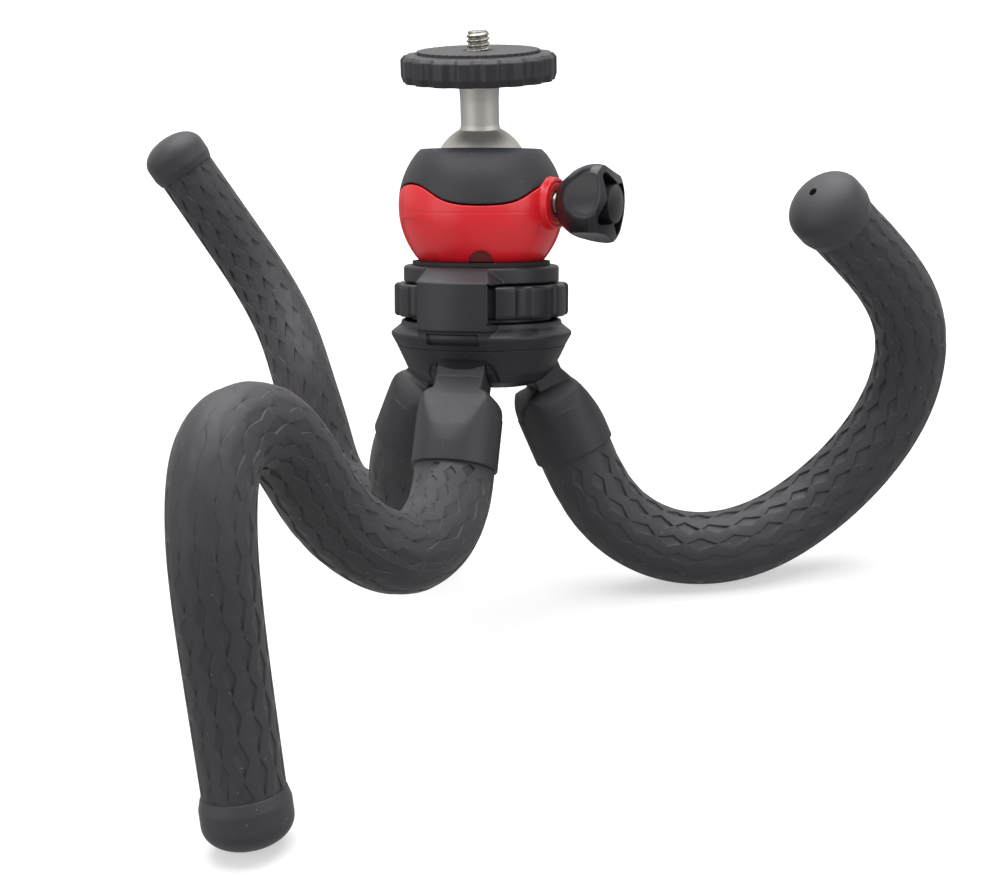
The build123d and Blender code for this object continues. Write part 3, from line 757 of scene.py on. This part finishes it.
wheel = {
    "bore": 9.0,
    "radius": 23.7,
    "low": 7.9,
    "high": 16.7,
    "round": 1.2,
    "lobes": 14,
    "dipDepth": 1.2,
    "dipHalfDegrees": 6.1,
    "dipBearing": 29.0,
    "aroundEach": 48,
    "rowStep": 0.5,
    "crease": 35,
}


def hubRadius(height, off):
    # height in millimetres, off in signed degrees from the nearest panel's middle
    seam, lip, step = hub["seamRadius"], hub["lipRadius"], hub["stepRadius"]
    front, collar, top = hub["panelRadius"], hub["collarRadius"], hub["collarHeight"]
    skirt = softLine([(seam, 0, 0), (lip, hub["lipLow"], 0.5), (lip, hub["lipHigh"], 0.5),
                      (step, hub["coveTop"], 1.5), (step - 0.1, hub["stepHeight"], 0)])
    ring = np.where(height <= hub["stepHeight"], np.interp(height, skirt[:, 1], skirt[:, 0]), collar)
    face = softLine([(seam, 0, 0), (lip, hub["lipLow"], 0.6), (lip + 0.2, hub["panelFoot"] - 0.5, 0.2),
                     (front, hub["panelFoot"], 0.15), (front, hub["panelBrow"], 0.7),
                     (collar, top - 0.3, 0.8), (collar, top, 0)])
    panel = np.interp(height, face[:, 1], face[:, 0])
    past = np.clip(np.abs(off) - hub["panelHalfAngle"], 0, None)
    fade = np.where(height < hub["middle"],
                    (front - step) / hub["fadeLow"], (front - collar) / hub["fadeHigh"])
    panel = panel - past * fade
    blend, base = hub["blend"], hub["blendRadius"]
    radius = np.log(np.exp(blend * (ring - base)) + np.exp(blend * (panel - base))) / blend + base
    across = radius * np.sin(np.radians(off))
    soft = hub["notchEdge"]
    notch = (smoothStep(hub["notchHalfWidth"] - np.abs(across), 0, soft)
             * smoothStep(height, hub["notchLow"], hub["notchLow"] + soft)
             * smoothStep(hub["notchHigh"] - height, 0, soft))
    radius = radius - hub["notchDepth"] * notch
    rise = np.clip((height - top + hub["collarRound"]) / hub["collarRound"], 0, 1)
    radius = radius - hub["collarRound"] * (1 - np.sqrt(1 - rise ** 2))
    edge = hub["edgeRound"]
    inWindow = (height > hub["stepHeight"] - edge) & (height < hub["windowTop"] + edge)
    degree = edge / front * 180 / np.pi
    near = np.clip((np.abs(off) - hub["panelHalfAngle"] + degree) / degree, 0, 1)
    near = np.where(np.abs(off) > hub["panelHalfAngle"] + 0.1, 0, near)
    radius = radius - np.where(inWindow, edge * (1 - np.sqrt(1 - near ** 2)), 0)
    for level, way in ((hub["stepHeight"], -1), (hub["windowTop"], 1)):
        gap = np.clip(1 - way * (height - level) / edge, 0, 1)
        beyond = (way * (height - level) >= -hair) & (np.abs(off) > hub["panelHalfAngle"] - degree)
        radius = radius - np.where(beyond, edge * hub["sillShare"] * (1 - np.sqrt(1 - gap ** 2)), 0)
    return radius


def makeHubShell():
    # the shell's outside and inside are two grids; the window is left out of both and its edges are joined
    levels = (0, hub["stepHeight"], hub["windowTop"], hub["collarHeight"])
    parts = [np.linspace(levels[i], levels[i + 1], hub["rows"][i])[min(i, 1):] for i in range(3)]
    heights = np.concatenate(parts)
    bearings = np.arange(0, 360, hub["bearingStep"])
    offs = np.stack([(bearings - centre + 180) % 360 - 180 for centre in hub["panelBearings"]])
    off = offs[np.abs(offs).argmin(0), np.arange(len(bearings))]
    radius = hubRadius(heights[:, None], off[None, :])
    azimuth = np.radians(bearings)[None, :]
    level = heights[:, None] + 0 * azimuth
    outer = ringsFrom(radius, level, azimuth)
    below = heights <= hub["windowTop"]
    inward = np.where(below, 0, (heights - hub["windowTop"]) / (hub["collarHeight"] - hub["windowTop"]))
    innerRadius = (hub["wall"] + (hub["plateBore"] - hub["wall"]) * inward)[:, None] + 0 * azimuth
    innerLevel = np.minimum(heights, hub["windowTop"])[:, None] + 0 * azimuth
    inner = ringsFrom(innerRadius, innerLevel, azimuth)
    rim = outer[-1:] * [hub["rimInset"], hub["rimInset"], 1]
    bore = inner[-1:] + [0, 0, hub["collarHeight"] - hub["windowTop"]]
    rows, around = level.shape
    outside = np.arange(rows * around).reshape(rows, around)
    inside = outside + rows * around
    kept = np.ones((rows - 1, around), bool)
    inRows = (heights[:-1] >= hub["stepHeight"] - hair) & (heights[1:] <= hub["windowTop"] + hair)
    after = off + hub["bearingStep"]
    isOpen = np.minimum(np.abs(off), np.abs(after)) >= hub["panelHalfAngle"] - hair
    kept[np.ix_(inRows, isOpen)] = False
    faces = []
    for i in range(rows - 1):
        for j in range(around):
            k = (j + 1) % around
            if kept[i, j]:
                faces.append([outside[i, j], outside[i, k], outside[i + 1, k], outside[i + 1, j]])
                faces.append([inside[i, j], inside[i + 1, j], inside[i + 1, k], inside[i, k]])
            if kept[i, j] != kept[i, j - 1]:
                faces.append([outside[i, j], outside[i + 1, j], inside[i + 1, j], inside[i, j]])
            if i and kept[i, j] != kept[i - 1, j]:
                faces.append([outside[i, j], outside[i, k], inside[i, k], inside[i, j]])
    points = np.vstack([outer.reshape(-1, 3), inner.reshape(-1, 3), rim[0], bore[0]])
    first = 2 * rows * around
    for j in range(around):
        k = (j + 1) % around
        faces.append([outside[0, j], outside[0, k], inside[0, k], inside[0, j]])
        faces.append([outside[-1, j], outside[-1, k], first + k, first + j])
        faces.append([first + j, first + k, first + around + k, first + around + j])
        faces.append([first + around + j, first + around + k, inside[-1, k], inside[-1, j]])
    faces = [[int(v) for v in face] for face in faces]
    piece = meshPiece("hub_cover", points, faces, hub["crease"], hubPlace)
    dressed(piece, "hub", "hub_plastic", "hub_shell")


def boxCutter(name, corners, low, high, place):
    # an upright prism over (x, y) corners
    count = len(corners)
    points = np.array([(x, y, z) for z in (low, high) for x, y in corners], float)
    faces = [[i, (i + 1) % count, count + (i + 1) % count, count + i] for i in range(count)]
    faces += [list(range(count)), list(range(count, 2 * count))]
    return meshPiece(name, points, faces, 30, place)


def makeBowl():
    ways = [legOut(name) for name in legNames]
    bearings = [math.atan2(way.dot(hubRight), -way.dot(hubUp.cross(hubRight))) for way in ways]

    def recess(radius, height, azimuth):
        depth = np.zeros_like(radius + azimuth)
        levels, widths = np.array(bowl["recessHalfWidths"]).T
        e = bowl["recessRound"]
        for bearing in bearings:
            off = turnBetween(azimuth, bearing)
            across = np.where(np.abs(off) < np.pi / 2, np.abs(np.sin(off)) * radius, np.inf)
            x = np.clip(across - (np.interp(height, levels, widths) - e), 0, None)
            y = np.clip(height - (bowl["recessTop"] - e), 0, None)
            depth = np.maximum(depth, bowl["recessDepth"] * smoothStep(e - np.hypot(x, y), -0.25, 0.3))
        return radius - depth * smoothStep(radius, bowl["recessInner"], bowl["recessInner"] + 1), height

    corners = [(hub["seamRadius"] * r, -bowl["depth"] * z, 3.0) for r, z in bowl["profileShares"]]
    seam = corners[-1][1]
    line = softLine([(bowl["bore"], -bowl["depth"], 0), corners[0][:2] + (1.0,)] + corners[1:-1]
                    + [corners[-1][:2] + (0.2,), (bowl["bore"], seam, 0)])
    rings = turned(denser(line, bowl["rowStep"]), bowl["around"], recess)
    piece = skin("hub_bowl", rings, hubPlace, ends="looped")
    sweep = np.radians(np.linspace(180, -bowl["slotSwing"], 24))
    radius, reach = bowl["slotRadius"], bowl["slotReach"]
    swing = math.radians(bowl["slotSwing"])
    outline = [(-radius, reach)] + [(radius * math.cos(a), -radius * math.sin(a)) for a in sweep]
    outline.append((outline[-1][0] + reach * math.sin(swing), outline[-1][1] + reach * math.cos(swing)))
    half = bowl["slotHalfWidth"]
    slots = []
    for name, way in zip(legNames, ways):
        place = standing(pointOf(name + "_hinge"), axisOf(name + "_hinge"), way)
        slots.append(boxCutter("slot", outline, -half, half, place))
    carved(piece, slots)
    dressed(piece, "hub", "hub_plastic", "lower_bowl")


def makeWheel():
    def dips(radius, height, azimuth):
        lobes = wheel["lobes"]
        off = turnBetween(azimuth * lobes, math.radians(wheel["dipBearing"]) * lobes) / lobes
        share = np.clip(np.abs(off) / math.radians(wheel["dipHalfDegrees"]), 0, 1)
        dip = wheel["dipDepth"] * np.sqrt(1 - share ** 2)
        weight = smoothStep(radius, wheel["radius"] - 3.5, wheel["radius"] - 1.0)
        return radius - dip * weight, height

    line = softLine([(wheel["bore"], wheel["low"], 0), (wheel["radius"], wheel["low"], wheel["round"]),
                     (wheel["radius"], wheel["high"], wheel["round"]), (wheel["bore"], wheel["high"], 0)], 8)
    rings = turned(denser(line, wheel["rowStep"]), wheel["lobes"] * wheel["aroundEach"], dips)
    piece = skin("thumb_wheel_rim", rings, hubPlace, crease=wheel["crease"])
    dressed(piece, "wheel", "wheel_plastic", "thumb_wheel")


makeHubShell()
makeBowl()
makeWheel()
print("hub made")


# head: red shell, black collar, ball stud, camera platform and locking knob
head = {
    "radius": 22.4,
    "centre": 37.4,
    "low": 22.7,
    "top": 52.5,
    "topRound": 1.2,
    "waveMiddle": 41.0,
    "waveHeight": 3.6,
    "waveCount": 3,
    "waveShift": 0.36,
    "waveSteep": 1.1,
    "seam": 0.2,
    "lipRound": 0.35,
    "lipDepth": 1.8,
    "opening": 12.2,
    "recessBearings": (60.0, 180.0, 300.0),
    "recessHalfDegrees": 20.0,
    "recessTop": 34.2,
    "recessRound": 4.6,
    "recessDepth": 0.42,
    "partingHeight": 35.8,
    "partingDepth": 0.07,
    "partingWidth": 0.12,
    "notchRadius": 3.3,
    "bore": 7.5,
    "rimDrop": 1.2,             # how far the opening's rim reaches down inside
    "redGrid": (720, 90),       # round and up
    "blackGrid": (512, 60),
    "crease": 25,
}
boss = {"base": 20.0, "face": 23.3, "radius": 6.8, "ringRadius": 5.3, "hole": 3.5, "holeDepth": 2.5,
        "ribs": 24, "ribHeight": 0.12, "rowStep": 0.35}
stud = {"ball": 12.7, "stem": 5.17, "flare": 5.45, "top": 24.2, "around": 160, "rowStep": 0.8}
platform = {"radius": 20.7, "low": 24.3, "high": 31.6, "lobes": 18, "dipDepth": 0.85, "dipHalfDegrees": 6.6,
            "bore": 3.0, "padRadius": 16.3, "padTop": 32.3, "padTeeth": 48, "toothDepth": 0.5,
            "screwRadius": 3.175, "screwTop": 37.2, "pitch": 1.27, "threadDepth": 0.62}
knob = {"startRadius": 6.1, "start": 25.2, "radius": 11.1, "end": 39.8, "lobes": 4, "lobeBearing": 120.0,
        "facetRadius": 24.0, "facetDepth": 2.5, "capRadius": 5.0, "capRise": 0.9,
        # a pocket's outline in radius and half width in radians, from its sides to its tip
        "pocketDepth": 4.2, "pocketSide": (5.6, 0.68), "pocketSweep": 0.64,
        "pocketTip": ((8.7, 0.16), (9.05, 0.08), (9.15, 0)),
        "bodyShares": ((0.82, 0.27, 8.0), (0.96, 0.52, 10.0), (1.0, 0.74, 3.0), (0.95, 0.87, 1.0)),
        "studRadius": 3.0, "studStart": 22.0, "studPitch": 1.0, "studDepth": 0.3}


def waveAt(azimuth):
    swell = np.cos(head["waveCount"] * azimuth) + head["waveShift"]     # longer below than above
    return head["waveMiddle"] - head["waveHeight"] * np.tanh(head["waveSteep"] * swell)


def sphereRadius(height):
    return np.sqrt(np.clip(head["radius"] ** 2 - (height - head["centre"]) ** 2, 0.01, None))


def shellRings(low, high, grid, detail=None):
    # the ball-shaped outside between two heights that may change with the azimuth
    around, rows = grid
    azimuth = np.linspace(0, 2 * np.pi, around, endpoint=False)[None, :]
    share = np.linspace(0, 1, rows)[:, None]
    height = low(azimuth) + share * (high(azimuth) - low(azimuth))
    radius = sphereRadius(height)
    if detail:
        radius = radius - detail(height, azimuth, radius)
    return radius, height, azimuth


def redDetail(height, azimuth, radius):
    depth = np.zeros_like(height)
    for bearing in head["recessBearings"]:
        across = np.abs(turnBetween(azimuth, math.radians(bearing))) * radius
        half = math.radians(head["recessHalfDegrees"]) * radius
        e = head["recessRound"]
        x = np.clip(across - (half - e), 0, None)
        y = np.clip(height - (head["recessTop"] - e), 0, None)
        inside = e - np.hypot(x, y)
        depth = np.maximum(depth, head["recessDepth"] * smoothStep(inside, -0.06, 0.16))
    parting = np.exp(-((height - head["partingHeight"]) / head["partingWidth"]) ** 2)
    return depth + head["partingDepth"] * parting


def rolled(radius, height, azimuth, way):
    # turn an edge inwards over a small round, way 1 at the top and -1 at the bottom
    rows = []
    e = head["lipRound"]
    for t in np.linspace(0.25, 1, 4) * np.pi / 2:
        rows.append((radius - e * (1 - math.cos(t)), height + way * e * math.sin(t)))
    rows.append((radius - head["lipDepth"], height + way * e))
    return [ringsFrom(r[None, :], h[None, :], azimuth) for r, h in rows]


def makeRedShell():
    e = head["lipRound"]
    radius, height, azimuth = shellRings(
        lambda a: head["low"] + 0 * a, lambda a: waveAt(a) - head["seam"] - e, head["redGrid"], redDetail)
    outer = ringsFrom(radius, height, azimuth)
    lip = rolled(radius[-1], height[-1], azimuth, 1)
    inner = ringsFrom(0 * azimuth + head["bore"], 0 * azimuth + head["low"], azimuth)
    rings = np.concatenate([outer, *lip, inner])
    piece = skin("head_red_shell", rings, hubPlace, ends="looped", crease=head["crease"])
    # the round notch at the bottom of the front, cut by a level rod
    rod = turned(np.array([(head["notchRadius"], -head["radius"]), (head["notchRadius"], -11.0)]), 48)
    rod = rod[..., [0, 2, 1]] * [1, 1, -1] + [0, 0, head["low"]]
    carved(piece, [skin("notch", rod, hubPlace)], head["crease"])
    wide, ringWide, face, hole = boss["radius"], boss["ringRadius"], boss["face"], boss["hole"]
    floor = face - boss["holeDepth"]
    outline = softLine([
        (0.5, boss["base"], 0), (wide + 0.7, boss["base"], 0), (wide + 0.2, face - 1.6, 1.2),
        (wide, face - 0.3, 0.3), (wide - 0.9, face - 0.1, 0.3), (ringWide + 0.5, face - 0.7, 0.3),
        (ringWide, face - 0.1, 0.3), (hole + 0.5, face - 0.1, 0.3), (hole, face - 1.0, 0.2),
        (hole, floor, 0), (0.5, floor, 0)], 4)

    def ribs(radius, height, azimuth):
        ridge = 0.5 + 0.5 * np.cos(azimuth * boss["ribs"])
        weight = smoothStep(radius, ringWide + 0.2, ringWide + 0.8) * smoothStep(wide - radius, 0.2, 0.8)
        return radius, height + boss["ribHeight"] * ridge ** 3 * weight

    ring = skin("boss", turned(denser(outline, boss["rowStep"]), boss["ribs"] * 10, ribs), knobPlace)
    piece = joined("head_red_shell", [piece, ring])
    dressed(piece, "head", "red_plastic", "red_shell")


def makeCollar():
    e = head["lipRound"]
    top = head["top"] - head["topRound"]
    radius, height, azimuth = shellRings(
        lambda a: waveAt(a) + head["seam"] + e, lambda a: top + 0 * a, head["blackGrid"])
    outer = ringsFrom(radius, height, azimuth)
    lip = rolled(radius[0], height[0], azimuth, -1)[::-1]
    edge, brim = sphereRadius(np.array([top, head["top"]]))
    crown = softLine([(edge, top, 0), (brim - 0.2, head["top"], head["topRound"] * 0.8),
                      (head["opening"] + 0.5, head["top"], 0.4),
                      (head["opening"], head["top"] - head["rimDrop"], 0.3),
                      (head["opening"] + 0.3, head["top"] - 5 * head["rimDrop"], 0)])[1:]
    rings = np.concatenate([*lip, outer, turned(denser(crown, 0.8), head["blackGrid"][0])])
    piece = skin("head_black_collar", rings, hubPlace, ends="looped")
    dressed(piece, "head", "collar_plastic", "head_collar")


def makeStud():
    # the ball up to where its stem's fillet starts, then the stem and its flare
    meetAngle = math.acos(stud["stem"] / stud["ball"])
    sweep = np.linspace(-1.2, meetAngle - 0.09, 48)
    ball = np.stack([stud["ball"] * np.cos(sweep), stud["ball"] * np.sin(sweep)], axis=1)
    meet = stud["ball"] * math.sin(meetAngle)
    thin, flare, top = stud["stem"], stud["flare"], stud["top"]
    stem = softLine([(*ball[-1], 0), (thin + 0.25, meet, 0.4), (thin, meet + 1.2, 0.8), (thin, top - 5, 8.0),
                     (flare, top - 0.4, 0.2), (flare - 0.3, top, 0)])
    rings = turned(np.vstack([ball, denser(stem, stud["rowStep"])[1:]]), stud["around"])
    piece = skin("ball_and_stem", rings, studPlace, crease=40)
    dressed(piece, "stud", "nickel", "ball_stud")


def makePlatform():
    def dips(radius, height, azimuth):
        lobes = platform["lobes"]
        off = turnBetween(azimuth * lobes, 0) / lobes
        share = np.clip(np.abs(off) / math.radians(platform["dipHalfDegrees"]), 0, 1)
        dip = platform["dipDepth"] * smoothStep(1 - share, 0, 0.8)
        weight = smoothStep(radius, platform["radius"] - 2.2, platform["radius"] - 0.7)
        return radius - dip * weight, height

    low, high, edge = platform["low"], platform["high"], platform["radius"]
    bore, pad, padTop = platform["bore"], platform["padRadius"], platform["padTop"]
    line = softLine([(bore, low, 0), (edge - 0.6, low, 0), (edge, low + 1.7, 2.0), (edge, high - 1.3, 0.5),
                     (edge - 0.9, high - 0.35, 0.5), (pad + 0.5, high, 0.3),
                     (pad + 0.3, high - 0.3, 0), (bore, high - 0.3, 0)])
    rings = turned(denser(line, 0.4), platform["lobes"] * 32, dips)
    piece = skin("platform_disc", rings, studPlace, crease=28)
    dressed(piece, "platform", "disc_plastic", "locking_disc")

    def teeth(radius, height, azimuth):
        wave = 0.5 + 0.5 * np.cos(azimuth * platform["padTeeth"])
        weight = smoothStep(radius, pad - 0.6, pad - 0.1)
        return radius - platform["toothDepth"] * wave ** 2 * weight, height

    screw, tip = platform["screwRadius"], platform["screwTop"]
    line = softLine([(screw + 0.3, high - 0.3, 0), (pad, high - 0.25, 0), (pad, padTop, 0.2),
                     (screw + 0.9, padTop, 0.3), (screw + 0.3, padTop - 0.5, 0)])
    rings = turned(denser(line, 0.35), platform["padTeeth"] * 8, teeth)
    piece = skin("platform_pad", rings, studPlace, crease=35)
    dressed(piece, "platform", "pad_rubber", "rubber_pad")

    def thread(radius, height, azimuth):
        turn = (height / platform["pitch"] - azimuth / (2 * np.pi)) % 1
        crest = np.clip(1 - np.abs(turn - 0.5) * 2.4, 0, 1)
        weight = smoothStep(radius, screw - 1.0, screw - 0.9)
        cut = platform["threadDepth"] * (1 - crest) * weight
        taper = np.clip(height - (tip - 1.0), 0, None) * 0.75
        return np.minimum(radius - cut, screw - taper), height

    line = softLine([(screw, low + 3, 0), (screw, tip, 0), (0.3, tip, 0)])
    piece = skin("platform_screw", turned(denser(line, 0.09), 96, thread), studPlace, crease=50)
    dressed(piece, "platform", "steel", "camera_screw")


def makeKnob():
    lobeTurn = math.radians(knob["lobeBearing"])
    start, end, cap = knob["start"], knob["end"], knob["capRadius"]

    def facets(radius, height, azimuth):
        away = knob["radius"] + knob["facetRadius"] - knob["facetDepth"]
        off = turnBetween((azimuth - lobeTurn) * knob["lobes"], np.pi) / knob["lobes"]
        reach = np.clip(knob["facetRadius"] ** 2 - (away * np.sin(off)) ** 2, 0, None)
        cut = np.where(reach > 0, away * np.cos(off) - np.sqrt(reach), 99)
        soft = (radius ** -30 + cut ** -30) ** (-1 / 30)
        return np.where(radius > cap + 0.3, soft, radius), height

    wide, length = knob["radius"], end - start
    body = [(wide * r, start + length * z, rounding) for r, z, rounding in knob["bodyShares"]]
    line = softLine([(0.5, start, 0), (knob["startRadius"], start, 0.4)] + body
                    + [(cap + 0.5, end, 0.5), (cap + 0.05, end - 0.1, 0.1),
                       (cap, end - 0.5, 0), (0.5, end - 0.5, 0)], 8)
    piece = skin("knob_body", turned(denser(line, 0.3), 4 * 96, facets), knobPlace, crease=32)
    cutters = []
    for i in range(knob["lobes"]):
        bearing = 2 * math.pi / knob["lobes"] * i + lobeTurn
        side, sweep, tip = knob["pocketSide"], knob["pocketSweep"], knob["pocketTip"]
        rim = [side] + [(cap + 0.05, off) for off in np.linspace(sweep, -sweep, 8)] + [(side[0], -side[1])]
        rim += [(r, -off) for r, off in tip] + list(tip[-2::-1])
        corners = [(r * math.sin(bearing + off), -r * math.cos(bearing + off)) for r, off in rim]
        cutters.append(boxCutter("pocket", corners, end - knob["pocketDepth"], end + 2, knobPlace))
    carved(piece, cutters, 32)
    dressed(piece, "knob", "knob_plastic", "lock_knob")
    ball = (cap ** 2 + knob["capRise"] ** 2) / (2 * knob["capRise"])
    sweep = np.linspace(math.asin(cap / ball), 0.01, 14)
    dome = np.stack([ball * np.sin(sweep), end + knob["capRise"] - ball + ball * np.cos(sweep)], axis=1)
    line = np.vstack([[(0.5, end - 1.5), (cap, end - 1.5), (cap, end - 0.1)], dome])
    piece = skin("knob_end_cap", turned(line, 96), knobPlace, crease=50)
    dressed(piece, "knob", "knob_plastic", "knob_cap")

    def thread(radius, height, azimuth):
        turn = (height / knob["studPitch"] - azimuth / (2 * np.pi)) % 1
        return radius - knob["studDepth"] * np.abs(turn - 0.5) * 2 * (radius > 1), height

    line = np.array([(0.5, knob["studStart"]), (knob["studRadius"], knob["studStart"]),
                     (knob["studRadius"], start + 1), (0.5, start + 1)])
    piece = skin("knob_thread", turned(denser(line, 0.1), 64, thread), knobPlace, crease=50)
    dressed(piece, "knob", "steel", "knob_stud")


makeRedShell()
makeCollar()
makeStud()
makePlatform()
makeKnob()
print("head made")


# the pieces that stay as the frame has them get their materials by the record's own slots
inner = {
    "nylon": ("ball_seat", "clamp_plug"),
    "brass": ("base_insert", "knob_bush"),
    "washer_rubber": ("friction_washer",),
    "steel": ("hinge_pin_front", "hinge_pin_right", "hinge_pin_rear", "wheel_screw", "screw_clip"),
    "wheel_plastic": ("wheel_washer",),
    "core_aluminium": tuple("core_%s_%d" % (name, i + 1) for name in legNames for i in range(4)),
}
for slot, nodes in inner.items():
    for node in nodes:
        mesh = frame["nodes"][node].data
        mesh.materials.clear()
        mesh.materials.append(materials[slot])


# stage: floor, daylight world, three soft lamps and the camera
stage = {
    "floorColour": "#cfcfcf",
    "floorSize": 40.0,
    "nearRadius": 0.25,
    "farRadius": 0.9,
    "paperLift": 0.5,
    "paperGloss": 0.35,
    "worldLight": 0.44,
    "worldGloss": 0.68,
    "cameraPlace": (5.07, -464.7, 41.7),
    "cameraPitch": 8.3,
    "focalPixels": 1700.0,
    "imageWidth": 1000.0,
    "lamps": (
        # name, place, aim, size, watts
        ("top_softbox", (0.02, 0.10, 0.75), (0.0, 0.0, 0.08), 0.90, 8.4),
        ("left_softbox", (-0.75, -0.55, 0.35), (0.0, 0.0, 0.08), 0.75, 1.6),
        ("right_softbox", (0.80, -0.45, 0.30), (0.0, 0.0, 0.08), 0.75, 1.9),
    ),
}


def makeStage():
    bpy.ops.mesh.primitive_plane_add(size=stage["floorSize"], location=(0, 0, -0.0002))
    floor = bpy.context.object
    floor.name = "floor"
    material, tree = blankMaterial("matt_paper")
    path = addNode(tree, "LightPath")
    seen = addNode(tree, "Math", {"operation": "MAXIMUM"},
                   {0: path.outputs["Is Glossy Ray"], 1: path.outputs["Is Transmission Ray"]})
    paper = addNode(tree, "BsdfDiffuse", None, {"Color": linear(stage["floorColour"])})
    bright = addNode(tree, "Emission", None, {"Color": (1, 1, 1, 1), "Strength": stage["paperGloss"]})
    both = addNode(tree, "MixShader", None, {"Fac": seen.outputs["Value"], 1: paper.outputs["BSDF"],
                                             2: bright.outputs["Emission"]})
    # to the eye the paper is white by itself far off, and lifted near by, where it holds the soft shadow
    here = addNode(tree, "TexCoord").outputs["Object"]
    away = addNode(tree, "VectorMath", {"operation": "LENGTH"}, {0: here})
    far = addNode(tree, "MapRange", {"interpolation_type": "SMOOTHSTEP"},
                  {"Value": away.outputs["Value"], "From Min": stage["nearRadius"],
                   "From Max": stage["farRadius"], "To Min": stage["paperLift"], "To Max": 1.0})
    glow = addNode(tree, "Math", {"operation": "MULTIPLY"},
                   {0: far.outputs["Result"], 1: path.outputs["Is Camera Ray"]})
    white = addNode(tree, "Emission", None, {"Color": (1, 1, 1, 1), "Strength": glow.outputs["Value"]})
    lifted = addNode(tree, "AddShader", None, {0: both.outputs["Shader"], 1: white.outputs["Emission"]})
    addNode(tree, "OutputMaterial", None, {"Surface": lifted.outputs["Shader"]})
    floor.data.materials.append(material)

    world = bpy.data.worlds.new("daylight")
    bpy.context.scene.world = world
    world.use_nodes = True
    tree = world.node_tree
    tree.nodes.clear()
    path = addNode(tree, "LightPath")
    seen = addNode(tree, "Math", {"operation": "MAXIMUM"},
                   {0: path.outputs["Is Camera Ray"], 1: path.outputs["Is Transmission Ray"]})
    shine = addNode(tree, "MapRange", None, {"Value": path.outputs["Is Glossy Ray"],
                                             "To Min": stage["worldLight"], "To Max": stage["worldGloss"]})
    strength = addNode(tree, "Math", {"operation": "MAXIMUM"},
                       {0: shine.outputs["Result"], 1: seen.outputs["Value"]})
    sky = addNode(tree, "Background", None, {"Color": (1, 1, 1, 1), "Strength": strength.outputs["Value"]})
    addNode(tree, "OutputWorld", None, {"Surface": sky.outputs["Background"]})

    for name, place, aim, size, watts in stage["lamps"]:
        light = bpy.data.lights.new(name, "AREA")
        light.energy = watts
        light.size = size
        lamp = bpy.data.objects.new(name, light)
        bpy.context.scene.collection.objects.link(lamp)
        lamp.location = place
        lamp.rotation_euler = (Vector(aim) - Vector(place)).to_track_quat("-Z", "Y").to_euler()

    camera = bpy.data.objects.new("camera", bpy.data.cameras.new("camera"))
    bpy.context.scene.collection.objects.link(camera)
    pitch = math.radians(stage["cameraPitch"])
    tilt = lean @ Matrix.Rotation(math.pi / 2 - pitch, 3, "X")
    camera.matrix_world = Matrix.Translation(hubPlace @ Vector(stage["cameraPlace"])) @ tilt.to_4x4()
    camera.data.sensor_width = 36.0
    camera.data.lens = stage["focalPixels"] / stage["imageWidth"] * camera.data.sensor_width
    camera.data.clip_start = 0.01
    camera.data.clip_end = 100
    bpy.context.scene.camera = camera
    bpy.context.scene.view_settings.view_transform = "Standard"


makeStage()
print("stage made")
